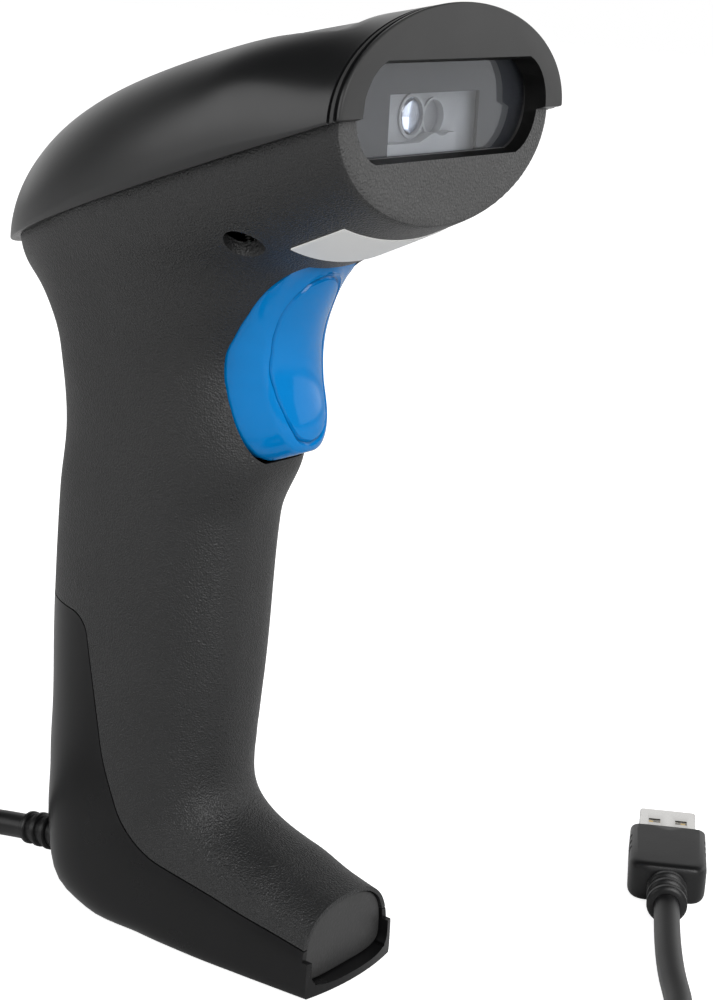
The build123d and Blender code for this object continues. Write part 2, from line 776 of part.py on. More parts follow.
def make_engine_board():
    back = ENGINE_FRONT + ENGINE_LENGTH
    half = ENGINE_HALF_WIDTH
    return HEAD * box((-half, back, BOARD_TOP), (half, back + 1.2, ENGINE_TOP))


def make_main_board():
    half = BOARD_HALF_WIDTH
    board = box((-half, BOARD_FRONT, -BOARD_DROP), (half, BOARD_REAR, BOARD_TOP))
    for x in (-POST_X, POST_X):
        for y in (POST_FRONT, POST_REAR):
            hole = rod(SCREW_SHANK + 0.2, -20, 0, "z", SHANK_SIDES)
            board = board - Location((x, y, 0)) * hole
    return HEAD * board


def make_decoder_chip():
    return HEAD * box((-9, 38.5, BOARD_TOP), (1, 48.5, BOARD_TOP + 1.2))


def make_buzzer():
    can = rod(5.0, BOARD_TOP, BOARD_TOP + 4.0, "z", 16)
    can = can - rod(0.8, BOARD_TOP + 3, BOARD_TOP + 5, "z", SHANK_SIDES)
    return head(8.5, 47.5, 0) * can


def make_cable_socket():
    block = box((-6, 55, BOARD_TOP), (6, BOARD_REAR, BOARD_TOP + 5.5))
    pocket = box((-5, 57, BOARD_TOP + 1), (5, BOARD_REAR + 1, BOARD_TOP + 4.5))
    return HEAD * (block - pocket)


def make_lead_connector():
    """The lead's own connector, pushed into the socket."""
    tongue = box((-4.9, 57.2, BOARD_TOP + 1.1), (4.9, BOARD_REAR, BOARD_TOP + 4.4))
    grip = box((-6, BOARD_REAR, BOARD_TOP), (6, BOARD_REAR + 5, BOARD_TOP + 5.5))
    return HEAD * (tongue + grip)


# ---------------------------------------------------------------- trigger and switch


def pin_place():
    return Location((0, PIN_Y, PIN_Z))


def trigger_section(x, back_off):
    """Side-view section at x, its finger side moved back by back_off."""
    front = []
    for y, z in TRIGGER_FRONT:
        back = min(PIN_Y + y + back_off, TRIGGER_REAR - 3)
        front.append(Vector(x, back, PIN_Z + z))
    rear_low = Vector(x, TRIGGER_REAR, PIN_Z - TRIGGER_BOTTOM_RADIUS + 0.3)
    rear_top = Vector(x, TRIGGER_REAR, PIN_Z + 3.5)
    curve = Edge.make_spline(front)
    finger = [curve @ (i / FINGER_STEPS) for i in range(FINGER_STEPS + 1)]
    return Wire.make_polygon(finger + [rear_low, rear_top])


def make_trigger():
    """Pivoted shell: crowned pad, two falling flanks, hub, nose and spring peg."""
    edge = TRIGGER_HALF_WIDTH
    across = [(-x, back) for x, back in reversed(TRIGGER_CROWN[1:])] + TRIGGER_CROWN
    shell = Solid.make_loft([trigger_section(x, back) for x, back in across], ruled=True)
    inner = edge - TRIGGER_WALL
    room = side_prism([(PIN_Y + y, PIN_Z + z) for y, z in TRIGGER_ROOM], inner)
    shell = shell - room
    hub = pin_place() * rod(5.0, -edge, edge, "x", 16)
    nose_y = NOSE_BACK - NOSE_RADIUS
    nose = Location((0, nose_y, SWITCH_Z)) * rod(NOSE_RADIUS, -2.5, 2.5, "x", 12)
    arm = side_prism(
        [
            (-14, SWITCH_Z + NOSE_RADIUS),
            (-14, SWITCH_Z - NOSE_RADIUS),
            (nose_y, SWITCH_Z - NOSE_RADIUS),
            (nose_y, SWITCH_Z + NOSE_RADIUS),
        ],
        2.5,
    )
    peg = Location((0, 0, SPRING_Z)) * rod(SPRING_PEG, -17, SPRING_FRONT + 2.0, "y", POST_SIDES)
    shell = (shell + hub) & trigger_front_form(0.0, 0.0)
    shell = shell + arm + nose + peg
    return shell - pin_place() * rod(PIN_RADIUS + PIN_CLEARANCE, -20, 20, "x")


def make_trigger_pin():
    reach = TRIGGER_HALF_WIDTH + TRIGGER_CLEARANCE + CHEEK_THICKNESS
    return pin_place() * rod(PIN_RADIUS, -reach, reach, "x")


def make_switch_plunger():
    tip = PLUNGER_FRONT
    button = rod(PLUNGER_RADIUS, tip, tip + PLUNGER_SHOWING + 0.4, "y", 12)
    return Location((0, 0, SWITCH_Z)) * button


def make_switch_body():
    half = SWITCH_SIZE / 2
    body = box((-half, SWITCH_Y, SWITCH_Z - half), (half, BOARD_Y, SWITCH_Z + half))
    bore = rod(PLUNGER_RADIUS + 0.05, SWITCH_Y - 1, BOARD_Y - 0.8, "y", 12)
    return body - Location((0, 0, SWITCH_Z)) * bore


def make_switch_board():
    width, thickness, height = SWITCH_BOARD
    low = SWITCH_Z + 6 - height
    return box((-width / 2, BOARD_Y, low), (width / 2, BOARD_Y + thickness, low + height))


def make_trigger_spring():
    """Compression spring between the trigger's peg and the switch board."""
    length = BOARD_Y - SPRING_FRONT - 2 * SPRING_WIRE
    count = SPRING_TURNS * SPRING_STEPS
    points = []
    for i in range(count + 1):
        turn = 2 * math.pi * i / SPRING_STEPS
        across = (SPRING_RADIUS * math.cos(turn), SPRING_RADIUS * math.sin(turn))
        points.append((across[0], SPRING_FRONT + SPRING_WIRE + length * i / count, SPRING_Z + across[1]))
    path = Polyline(*points)
    section = Plane(origin=path @ 0, x_dir=(0, 1, 0), z_dir=path % 0)
    return sweep(section * RegularPolygon(SPRING_WIRE, 4), path, transition=Transition.RIGHT)


# ---------------------------------------------------------------- fasteners and trim


def screw(shank_end, head_z, direction):
    """Pan-head screw along z: the head stands on head_z, away from direction."""
    shank = extrude(RegularPolygon(SCREW_SHANK, SHANK_SIDES), amount=shank_end - head_z)
    cap = extrude(RegularPolygon(SCREW_HEAD, 12), amount=-direction * SCREW_HEAD_HEIGHT)
    slot = box((-1.6, -0.35, -0.7), (1.6, 0.35, 0.7))
    cap = cap - Location((0, 0, -direction * SCREW_HEAD_HEIGHT)) * slot
    return Location((0, 0, head_z)) * (shank + cap)


def make_cover_screws():
    seat = TUNNEL_TOP - TUNNEL_FLOOR
    one = screw(5.5, seat, 1)
    return [head(side * TUNNEL_X, TUNNEL_BACK, 0) * one for side in (-1, 1)]


def make_board_screws():
    one = screw(-BOARD_DROP - 6, BOARD_TOP, -1)
    return [
        head(x, y, 0) * one for x in (-POST_X, POST_X) for y in (POST_FRONT, POST_REAR)
    ]


def make_base_screws():
    one = screw(14.0, BASE_SCREW_SEAT + 1.0, 1)
    return [
        Location((side * BASE_SCREW_X, BASE_SCREW_Y, 0)) * one for side in (-1, 1)
    ]


def make_sticker():
    """Blank label on the underside of the nose."""
    outer = belly_form() - nose_trim()
    width, length = STICKER_SIZE
    area = head(0, STICKER_BACK, -30) * Box(width, length, 60)
    lifted = Location((0, -0.08, -0.24)) * outer
    return (lifted & area) - outer - limb_form()


# ---------------------------------------------------------------- lead


def runs_and_radii(points):
    """Corner radii from the two runs and the turn at each corner."""
    points = [Vector(*p) for p in points]
    radii = []
    for before, corner, after in zip(points, points[1:], points[2:]):
        turn = (corner - before).get_angle(after - corner)
        shorter = min((corner - before).length, (after - corner).length)
        radii.append(0.45 * shorter / math.tan(math.radians(turn) / 2))
    return radii


def cord_section(path, sides, radius=CORD_RADIUS):
    """Many-sided section with the area of the round cord, a flat side down."""
    corner = radius * math.sqrt(2 * math.pi / (sides * math.sin(2 * math.pi / sides)))
    plane = Plane(origin=path @ 0, x_dir=(0, 0, 1), z_dir=path % 0)
    return plane * RegularPolygon(corner, sides, rotation=180 / sides)


def cord_tube(name, points, radius=CORD_RADIUS):
    """Tube of straight runs joined by tangent arcs."""
    radii = runs_and_radii(points)
    path = FilletPolyline(*points, radius=radii)
    tube = sweep(cord_section(path, CORD_FACETS, radius), path)
    share = tube.volume / (math.pi * radius**2 * path.length)
    print(name, "arc radii", [round(r, 1) for r in radii])
    print(name, "length", round(path.length, 1), "volume share", round(share, 3))
    return tube


def coil_stations():
    """Angle, radius and height at each half turn; the climb is the middle one."""
    stations = [(180.0, COIL_RADIUS, COIL_BOTTOM)]
    for share in [0.5] * int(COIL_TURNS_IN * 2):
        angle, radius, z = stations[-1]
        stations.append((angle + 360 * share, radius - COIL_PITCH * share, z))
    angle, radius, z = stations[-1]
    stations.append((angle + 180, radius, COIL_TOP))
    rest = COIL_TURNS_OUT
    while rest > 1e-6:
        share = min(0.5, rest)
        angle, radius, z = stations[-1]
        stations.append((angle + 360 * share, radius + COIL_PITCH * share, z))
        rest -= share
    return stations


def coil_point(angle, radius, z):
    a = math.radians(angle)
    return Vector(
        COIL_CENTRE[0] + radius * math.cos(a), COIL_CENTRE[1] + radius * math.sin(a), z
    )


def coil_heading(angle):
    a = math.radians(angle)
    return Vector(-math.sin(a), math.cos(a), 0)


def coil_path():
    """Two tangent arcs for each half or quarter turn."""
    edges = []
    stations = coil_stations()
    for (a0, r0, z0), (a1, r1, z1) in zip(stations, stations[1:]):
        start, end = coil_point(a0, r0, z0), coil_point(a1, r1, z1)
        go, come = coil_heading(a0), coil_heading(a1)
        chord = end - start
        swing = go + come
        reach = chord.dot(swing)
        turn = 2 * (1 - go.dot(come))
        root = math.sqrt(reach**2 + turn * chord.dot(chord))
        step = (root - reach) / turn
        middle = (start + go * step + end - come * step) * 0.5
        first = Edge.make_tangent_arc(start, go, middle)
        edges.append(first)
        edges.append(Edge.make_tangent_arc(middle, first % 1, end))
    return Wire(edges)


def make_cable_coil():
    path = coil_path()
    print("coil length", round(path.length, 1), "least gap", round(least_gap(path), 2))
    return sweep(cord_section(path, COIL_FACETS), path)


def least_gap(path):
    """Smallest clear distance between turns, measured on points of the centre line."""
    count = 720
    points = [path @ (i / count) for i in range(count + 1)]
    spacing = path.length / count
    skip = int(4 * CORD_DIAMETER / spacing)
    least = min(
        (points[i] - points[j]).length
        for i in range(count + 1)
        for j in range(i + skip, count + 1)
    )
    return least - CORD_DIAMETER


def make_coil_tie():
    """Flat strap round the turns, with its free end lying on top."""
    inner_r = COIL_RADIUS - COIL_PITCH * COIL_TURNS_IN - CORD_RADIUS - TIE_CLEARANCE
    outer_r = COIL_RADIUS + CORD_RADIUS + TIE_CLEARANCE + 1.0
    top = COIL_TOP + CORD_RADIUS + TIE_CLEARANCE
    thick = TIE_THICKNESS
    loop = box((inner_r - thick, -TIE_WIDTH / 2, 0), (outer_r + thick, TIE_WIDTH / 2, top + thick))
    loop = fillet(loop.edges().filter_by(Axis.Y), 2.0)
    hole = box((inner_r, -TIE_WIDTH, thick), (outer_r, TIE_WIDTH, top))
    hole = fillet(hole.edges().filter_by(Axis.Y), 1.4)
    tail = box((inner_r + 5, -TIE_WIDTH / 2, top + thick), (outer_r - 3, TIE_WIDTH / 2, top + 2 * thick))
    place = Location((COIL_CENTRE[0], COIL_CENTRE[1], 0), (0, 0, 60))
    return place * (loop - hole + tail)


def boot_end():
    return (BOOT * Location((0, BOOT_LENGTH, 0))).position


def make_cable_boot():
    """Flanged strain relief: neck in the heel's wall, ringed taper outside."""
    steps = [
        (-BODY_WALL - 2.0, -BODY_WALL, BOOT_FLANGE, BOOT_FLANGE),
        (-BODY_WALL, 1.2, BOOT_NECK, BOOT_NECK),
        (1.2, 3.2, BOOT_ROOT + 0.3, BOOT_ROOT + 0.2),
    ]
    slim = (BOOT_ROOT - BOOT_END) / (BOOT_LENGTH - 3.2)
    y = 3.2
    while y < BOOT_LENGTH - 1:
        low = BOOT_ROOT - slim * (y - 3.2)
        steps.append((y, y + 1.2, low - 0.6, low - 0.6))
        steps.append((y + 1.2, y + 2.95, low, low - 0.15))
        y += 2.95
    return BOOT * ringed(steps)


def make_inner_lead():
    """The lead inside the grip, from the boot up to its connector."""
    start = (head(0, BOARD_REAR + 5, BOARD_TOP + 2.75)).position
    end = (BOOT * Location((0, -BODY_WALL - 2.0, 0))).position
    points = [tuple(start), *CORD_INSIDE, tuple(end)]
    return cord_tube("inner lead", points, CORD_RADIUS * 0.8)


def make_cable_out():
    start = tuple(boot_end())
    end = tuple(coil_point(*coil_stations()[0]))
    return cord_tube("cable_out", [start, *CORD_OUT, end])


def make_cable_in():
    start = tuple(coil_point(*coil_stations()[-1]))
    end = tuple((PLUG * Location((0, 0, 0))).position)
    return cord_tube("cable_in", [start, *CORD_IN, end])


def make_plug_relief():
    """Ringed tail of the plug."""
    pitch = PLUG_RELIEF_LENGTH / 3
    steps = []
    for i in range(3):
        low = i * pitch
        steps.append((low, low + pitch * 0.6, 3.9, 4.1))
        steps.append((low + pitch * 0.6, low + pitch, 3.3, 3.3))
    return PLUG * ringed(steps)


def make_plug_overmould():
    """Moulded grip with rounded shoulders and scalloped sides."""
    width, length, height = PLUG_BODY
    base = PLUG_RELIEF_LENGTH
    body = box((-width / 2, base, -height / 2), (width / 2, base + length, height / 2))
    tail = body.edges().filter_by(Axis.Z).group_by(Axis.Y)[0]
    body = fillet(tail, 4.0)
    body = fillet(body.edges().filter_by(Axis.Z).group_by(Axis.Y)[-1], 1.2)
    body = chamfer(body.faces().sort_by(Axis.Z)[-1].edges(), 0.8)
    body = chamfer(body.faces().sort_by(Axis.Z)[0].edges(), 0.8)
    for side in (-1, 1):
        for y in (10.0, 13.0, 16.0):
            notch = Location((side * (width / 2 + 0.5), base + y, 0)) * Cylinder(1.0, height + 2)
            body = body - notch
    step = box((-6.8, base + length - 3.2, height / 2 - 0.4), (6.8, base + length + 1, height / 2 + 1))
    return PLUG * (body - step - shell_room())


def shell_room():
    """Where the metal shell sits inside the grip."""
    width, height = SHELL_SIZE
    start = PLUG_RELIEF_LENGTH + PLUG_BODY[1]
    return box((-width / 2, start - 6, -height / 2), (width / 2, start + 1, height / 2))


def make_usb_shell():
    width, height = SHELL_SIZE
    start = PLUG_RELIEF_LENGTH + PLUG_BODY[1]
    end = start + SHELL_SHOWING
    shell = box((-width / 2, start - 6, -height / 2), (width / 2, end, height / 2))
    room = box(
        (-width / 2 + SHELL_WALL, start - 5, -height / 2 + SHELL_WALL),
        (width / 2 - SHELL_WALL, end + 1, height / 2 - SHELL_WALL),
    )
    shell = shell - room
    for side in (-1, 1):
        window = box((side * 2.85 - 1.25, end - 7.6, -5), (side * 2.85 + 1.25, end - 5.5, 5))
        shell = shell - window
    return PLUG * shell


def make_usb_tongue():
    width, height = SHELL_SIZE
    start = PLUG_RELIEF_LENGTH + PLUG_BODY[1]
    low = -height / 2 + SHELL_WALL
    half = width / 2 - SHELL_WALL
    tongue = box((-half, start - 5, low), (half, start + SHELL_SHOWING - 0.6, low + 1.9))
    return PLUG * tongue


def make_usb_contacts():
    """Four contact strips lying on the tongue."""
    start = PLUG_RELIEF_LENGTH + PLUG_BODY[1]
    top = -SHELL_SIZE[1] / 2 + SHELL_WALL + 1.9
    strips = []
    for x in (-3.5, -1.0, 1.0, 3.5):
        end = start + SHELL_SHOWING - 1.6
        strips.append(PLUG * box((x - 0.5, start - 2, top), (x + 0.5, end, top + 0.15)))
    return strips


PARTS = {
    "top_cover": make_top_cover,
    "body_shell": make_body_shell,
    "base_shell": make_base_shell,
    "toe_end_plate": make_toe_end_plate,
    "sole_pad": lambda: sole_pad_form(PAD_THICKNESS),
    "window_frame": make_window_frame,
    "scan_window": make_scan_window,
    "engine_chassis": make_engine_chassis,
    "lens_barrel": make_lens_barrel,
    "engine_lens": make_engine_lens,
    "engine_mirror": make_engine_mirror,
    "engine_led": make_engine_led,
    "engine_board": make_engine_board,
    "main_board": make_main_board,
    "decoder_chip": make_decoder_chip,
    "buzzer": make_buzzer,
    "cable_socket": make_cable_socket,
    "lead_connector": make_lead_connector,
    "trigger": make_trigger,
    "trigger_pin": make_trigger_pin,
    "trigger_spring": make_trigger_spring,
    "switch_plunger": make_switch_plunger,
    "switch_body": make_switch_body,
    "switch_board": make_switch_board,
    "cover_screws": make_cover_screws,
    "board_screws": make_board_screws,
    "base_screws": make_base_screws,
    "blank_sticker": make_sticker,
    "cable_boot": make_cable_boot,
    "inner_lead": make_inner_lead,
    "cable_out": make_cable_out,
    "cable_coil": make_cable_coil,
    "coil_tie": make_coil_tie,
    "cable_in": make_cable_in,
    "plug_relief": make_plug_relief,
    "plug_overmould": make_plug_overmould,
    "usb_shell": make_usb_shell,
    "usb_tongue": make_usb_tongue,
    "usb_contacts": make_usb_contacts,
}


def main():
    for node, make in PARTS.items():
        made = make()
        solids = made if isinstance(made, list) else [made]
        solids = [s for shape in solids for s in shape.solids()]
        shape = solids[0] if len(solids) == 1 else Compound(children=solids)
        export_step(shape, f"parts/{node}.step")


if __name__ == "__main__":
    main()
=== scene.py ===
"""Looks of the handheld barcode scanner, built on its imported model.

Shapes are worked out in millimetres and become metres where a mesh is made.
+Z is up, the scan window looks towards -Y, X runs across the head.
"""

import math

import bmesh
import bpy
import numpy as np
from mathutils import Matrix, Vector


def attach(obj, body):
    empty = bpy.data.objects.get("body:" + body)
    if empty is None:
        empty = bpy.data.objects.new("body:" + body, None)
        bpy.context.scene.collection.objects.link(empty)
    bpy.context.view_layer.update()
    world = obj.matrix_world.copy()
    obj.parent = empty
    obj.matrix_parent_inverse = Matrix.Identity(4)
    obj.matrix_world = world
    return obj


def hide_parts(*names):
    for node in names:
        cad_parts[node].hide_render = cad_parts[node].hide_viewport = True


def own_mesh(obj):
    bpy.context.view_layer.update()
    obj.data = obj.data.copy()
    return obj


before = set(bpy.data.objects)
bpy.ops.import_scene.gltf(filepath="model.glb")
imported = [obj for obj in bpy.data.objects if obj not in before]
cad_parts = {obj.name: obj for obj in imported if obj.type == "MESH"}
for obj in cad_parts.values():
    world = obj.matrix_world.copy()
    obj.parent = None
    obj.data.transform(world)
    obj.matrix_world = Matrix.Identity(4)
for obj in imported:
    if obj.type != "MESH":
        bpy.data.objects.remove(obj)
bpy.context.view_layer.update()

MM = 0.001  # metres
SCENE = bpy.context.scene

# ---- head sizes
HEAD_LENGTH = 96.0
HEAD_HALF_WIDTH = 33.0
HEAD_PITCH = 19.3
SEAM_HEIGHT = 162.2
CROWN_NOSE = 18.0
CROWN_SWELL = 2.4
BELLY_NOSE = 18.3
BELLY_SWELL = 3.7
PLAN_START = 0.07
PLAN_POWER = 2.55
COVER_OVERHANG = 1.75
COVER_WALL = 2.6
BODY_WALL = 2.2
FACE_WALL = 3.8
FACE_SETBACK = 1.6
NOSE_Y = -HEAD_LENGTH / 2
HEAD_END = 0.9995  # share of the head's length at which its skin closes
NOSE_ROUND = 0.45  # rounded edge of the cover's face
LIP_ROUND = 0.3  # rounded lower edge of the cover
RIM_GROOVES = [(0.8, 1.55), (2.2, 2.8)]  # behind the face: the bright strip lies between
RIM_GROOVE_DEPTH = 0.6
NOSE_RINGS = (1.3, 1.75, 2.2, 2.6, 3.0, 3.6)  # sections of the cover next to its face
ROOM_SHARES = (0.0, 0.2, 0.4, 0.55, 0.7, 0.8, 0.88, 0.96)  # sections of the room in the head
CROWN_BOX = 1.3  # how much squarer than an ellipse its section is behind the nose
CROWN_RAISE = 1.3
DISH_WIDTH = 0.6  # shallow dish on top, as a share of the half-width
DISH_DEPTH = 0.7
BELLY_ROUND = 0.8  # rounded front edge of the body under the cover
BLEND_CELL = 0.9  # the grip's joint with the head is evened out in cells of this size
BLEND_FLOOR = 92.0
BLEND_REACH = 9.0
BLEND_STRENGTH = 0.6
BLEND_ROUNDS = 60

# ---- grip sizes
# Height, front edge, rear edge and half-width of the grip's level sections.
GRIP_SECTIONS = [
    (140.0, -30.0, 36.0, 26.5),
    (128.0, -19.5, 39.0, 22.2),
    (113.0, -11.7, 34.5, 17.3),
    (97.5, -15.6, 33.4, 16.0),
    (84.0, -10.6, 34.6, 15.7),
    (56.0, -8.9, 35.6, 15.4),
]
BEND_Y = -19.5
BEND_Z = 42.0
BEND_MIDDLE = 36.0  # mean distance from the bend's centre, for its arc length
BEND_LENGTH = math.pi / 2 * BEND_MIDDLE
# Degrees down from level, inner and outer distance, half-width, roundness of the
# outer side and the place of the widest line.
BEND_SECTIONS = [
    (0.0, 11.9, 54.9, 15.3, 2.3, 0.45),
    (14.0, 12.6, 56.6, 15.3, 2.4, 0.45),
    (28.0, 14.2, 60.8, 15.3, 2.8, 0.43),
    (37.0, 15.6, 63.2, 15.2, 3.3, 0.41),
    (46.0, 17.0, 58.8, 15.0, 4.2, 0.39),
    (60.0, 18.2, 49.2, 14.8, 5.5, 0.37),
    (75.0, 18.7, 44.6, 14.5, 6.0, 0.35),
    (90.0, 19.8, 43.0, 14.2, 6.0, 0.35),
]
TOE_SECTIONS = [(-28.0, 19.0, 13.7), (-40.0, 15.8, 13.0)]  # place, top and half-width
TOE_POWER = 4.5
GRIP_POWER = 2.5  # roundness of the inner side
GRIP_REAR_POWER = 2.3
GRIP_WIDEST = 0.45
GRIP_HEIGHT = 152.0  # inside the head
SOLE_HEIGHT = 0.8  # underside of the shell, over the surface it stands on
TOE_Y = -34.6
LIP_REACH = 2.6
LIP_BOW_RADIUS = 60.0
LIP_TOP = 7.8
RIM_WALL = 1.5
PART_GAP = 0.25  # parting gap round the base shell
TOE_SEAT = 2.1  # depth of the toe plate's rebate, back from the body's end
TOE_RIM = [(0.0, 0.1), (-1.15, 0.1), (-1.4, 0.17), (-1.55, 0.35), (-1.6, 0.6)]
PAD_ROOM = ((-10, -28, -1), (10, 22, 1.61))  # corners of the sole pad's room
# Upper edge of the base shell from the side: its corners, rear and front ends.
BASE_EDGE = [(19.0, 62.4), (13.6, 34.5), (7.2, 18.6)]
BASE_EDGE_REAR = (50.0, 64.6)
BASE_EDGE_TOE = (-45.0, 7.9)
BASE_EDGE_RADII = (5.0, 40.0, 15.0)

# ---- window sizes
WINDOW_RISE = 1.1
WINDOW_HALF_HEIGHT = 8.3
WINDOW_HALF_STRAIGHT = 21.0
WINDOW_HALF_WIDTH = 27.0
GLASS_RECESS = 4.5
GLASS_THICKNESS = 1.5
FRAME_EDGE = 1.9
FRAME_DEPTH = 2.6
CLEAR_HALF_WIDTH = 13.2  # clear part of the glass, inside the printed border
CLEAR_HALF_HEIGHT = 5.0
CLEAR_CENTRE_X = 0.4
CLEAR_DROP = 3.3  # its middle below the window's
OPENING_DROP = 0.75  # the opening's middle below the glass's
OPENING_DRAFT = 0.9  # how much it narrows on each side from the face to the glass

# ---- trigger sizes
PIN_Y = -6.5
PIN_Z = 127.0
TRIGGER_CLEARANCE = 0.35
TRIGGER_BOTTOM_RADIUS = 31.2
TRIGGER_REAR = -3.0
TRIGGER_WALL = 1.8
PAD_WALL = 2.4
PAD_CROWN = 2.0  # how far the pad falls away at its sides
PAD_HALF_WIDTH = 7.3
FLANK_START = 1.03  # share of the crease's distance from the middle
TRIGGER_ARC = (226, 292)  # degrees of the arc that its lower end turns past
TRIGGER_SWEEP = 0.45  # room under its lower corners, which drop as it turns
TRIGGER_MIDDLE = 116.0  # height from which its outlines are measured
# Height and place of the finger side, down its middle.
FINGER_LINE = [
    (135.0, -24.2), (132.1, -23.3), (130.1, -22.8), (125.6, -20.9), (121.3, -19.3),
    (117.0, -18.7), (113.3, -18.9), (109.7, -19.6), (106.2, -20.7), (102.5, -21.2),
    (100.0, -20.9), (98.0, -19.4), (96.0, -16.6),
]
# Height, half-width and depth of the line where the trigger enters the grip.
TRIGGER_EDGE = [
    (134.4, 0.0, -23.6), (134.4, 5.6, -23.3), (133.6, 8.3, -22.7), (131.0, 10.2, -20.3),
    (127.5, 11.0, -16.8), (123.5, 10.9, -14.0), (119.0, 10.6, -11.4), (114.5, 10.2, -9.8),
    (111.0, 9.9, -9.5), (107.5, 9.7, -10.3), (104.0, 9.4, -11.3), (100.5, 8.4, -12.8),
    (98.4, 6.9, -14.0), (97.1, 4.4, -15.0), (96.7, 0.0, -15.6),
]
# Height and half-width of the crease round the finger pad.
PAD_EDGE = [
    (131.3, 0.0), (130.4, 3.5), (128.2, 5.9), (125.0, 7.1), (121.0, 7.4), (117.0, 7.4),
    (112.0, 7.2), (108.0, 6.4), (104.6, 5.2), (101.6, 2.9), (100.8, 0.0),
]
# Shares of the way from the trigger's middle to that crease, and depth under the pad.
PAD_RINGS = [
    (0.02, 0.0), (0.12, 0.0), (0.25, 0.0), (0.4, 0.0), (0.55, 0.0), (0.7, 0.0), (0.8, 0.0),
    (0.88, 0.0), (0.935, 0.0), (0.96, 0.04), (0.978, 0.35), (1.0, 0.55), (1.022, 0.35),
    (1.04, -0.1),
]
# Shares of the way from the crease to the edge, and of the fall to its depth.
FLANK_FALL = [
    (0.12, 0.0), (0.2, 0.02), (0.3, 0.05), (0.38, 0.085), (0.44, 0.13), (0.5, 0.19), (0.58, 0.28),
    (0.68, 0.4), (0.78, 0.53), (0.87, 0.67), (0.94, 0.81), (0.98, 0.92), (1.0, 1.0),
]
OPENING_TOP = [(4.0, 8.0), (-10.5, 7.6), (-18.1, 7.2)]  # over the trigger, from the pin
OPENING_CORNER = (-18.6, 21.0)  # front corner from the pin, and its drop below the seam
SWITCH_Z = 118.0
HUB_RADIUS = 4.2
HUB_HALF_WIDTH = 10.6
PIN_BORE = 1.65
ARM_REACH = 5.5  # from the pin back to the middle of its tip
ARM_HALF_WIDTH = 2.5
ARM_FRONT = -14.5
ARM_TIP = 1.0
PEG = [(-17.0, 1.7), (-3.2, 1.7), (-2.0, 1.2)]  # peg that holds the spring
SPRING_Z = 107.0
SPRING_FRONT = -12.6
SPRING_REAR = 6.55  # the switch board's face
SPRING_RADIUS = 2.6
SPRING_WIRE = 0.35
SPRING_TURNS = 5

# ---- engine and screws
ENGINE_FRONT = 13.0
ENGINE_POCKET = 9.0
LENS_X = -3.5
LENS_Z = -0.6
LENS_DEPTH = 7.55  # from the back of its pocket to the barrel's mouth
LENS_RADIUS = 2.85
BARREL_RADIUS = 3.9
HOOD_Y = -39.4  # face of the light hood behind the glass
PORT_PLACE = (-3.0, 161.0)
RECESS_PLACE = (3.4, 160.6)
PORT_RADIUS = 3.2
PORT_GLASS = 3.15
RECESS_RADIUS = 2.95
FACE_RIMS = ((RECESS_PLACE, 3.35), (PORT_PLACE, 3.75))
FACE_LOW, FACE_HIGH = (-15.5, 152.6), (16.5, 168.6)  # corners of the hood's face
FACE_THICKNESS = 1.4
FACE_RIM = 0.35  # how far the rims stand out
FACE_ARM_X = 11.4
LEDGE = [(-13.0, 152.6), (7.9, 152.6), (7.4, 158.2), (0.65, 158.2), (-3.1, 156.8), (-13.0, 156.8)]
BOARD_TOP = -8.0
POST_X = 14.5
POST_FRONT = 38.0
POST_REAR = 57.0
TUNNEL_X = 22.25
TUNNEL_BACK = 32.9
TUNNEL_BORE = 3.3
SCREW_SHANK = 1.1
SCREW_HEAD = 2.3
SCREW_SEAT = -4.8
THREAD_PITCH = 0.5
THREAD_DEPTH = 0.22
COVER_SCREW = 10.3
BOARD_SCREW = 7.6
BASE_SCREW = 9.8
BASE_SCREW_PLACE = (-6.5, -17.0, 4.2)
BASE_SCREW_SPACING = 13.0
LABEL_SIZE = (36.0, 11.8)
LABEL_BACK = 20.9

# ---- lead sizes
CORD_DIAMETER = 5.2
COIL_CENTRE = (-90.0, -50.0)
COIL_RADIUS = 36.0
COIL_PITCH = 7.0
COIL_BOTTOM = 3.6
COIL_TOP = 9.4
COIL_TURNS_IN = 2.5
COIL_TURNS_OUT = 2.25
COIL_CLIMB = 0.5  # turns over which it rises to its upper layer
COIL_POINTS = 16  # route points in each turn
BOOT_TIP = (0.0, 46.85, 5.91)
PLUG_TAIL = (62.0, -69.4, 4.2)
PLUG_HEADING = 28.5
PLUG_BODY = (16.0, 22.0, 8.4)
PLUG_RELIEF_LENGTH = 10.0
PLUG_RING = (4.1, 2.1)  # radius and width
BOOT_RING_WIDTH = 1.75
PLUG_SHOULDER = (3.6, 2.7, 0.8)  # length, side and top of its rounded tail
PLUG_NOSE = [(0.9, 0, 0), (0.45, 0.12, 0.12), (0.12, 0.4, 0.35), (0, 0.8, 0.6)]
PLUG_STEP = (6.6, 0.4)  # half-width and half-height of the hollow before the shell
PLUG_ROOM = (6.02, 2.27)  # the same of the room for the shell
SCALLOPS = 10.0  # place of the first of three grooves on each side of the grip
SCALLOP_PITCH = 3.0
SHELL_SIZE = (12.0, 4.5)
SHELL_SHOWING = 12.8
SHELL_WALL = 0.3
SHELL_IN_GRIP = 6.0
LATCH_WINDOW = (2.85, 2.5, 7.6, 5.5)  # middle, width, and its ends from the shell's mouth
STRAP_MIDDLE = (25.0, 6.6)  # out from the coil's middle, and up
STRAP_REACH = (9.9, 6.6)
STRAP_CORNER = 0.35
STRAP_THICKNESS = 0.75
STRAP_HALF_WIDTH = 4.5
STRAP_TURN = 60.0
STRAP_END = [(-4.5, 5.6, 0.3), (-4.4, 5.9, 0.35), (4.4, 5.9, 0.35), (4.5, 5.6, 0.3)]
STRAP_END_PLACE = (26.2, 0, 13.45)
STRAP_RIB = [(-3.9, 0.22, 0.2), (3.9, 0.22, 0.2)]
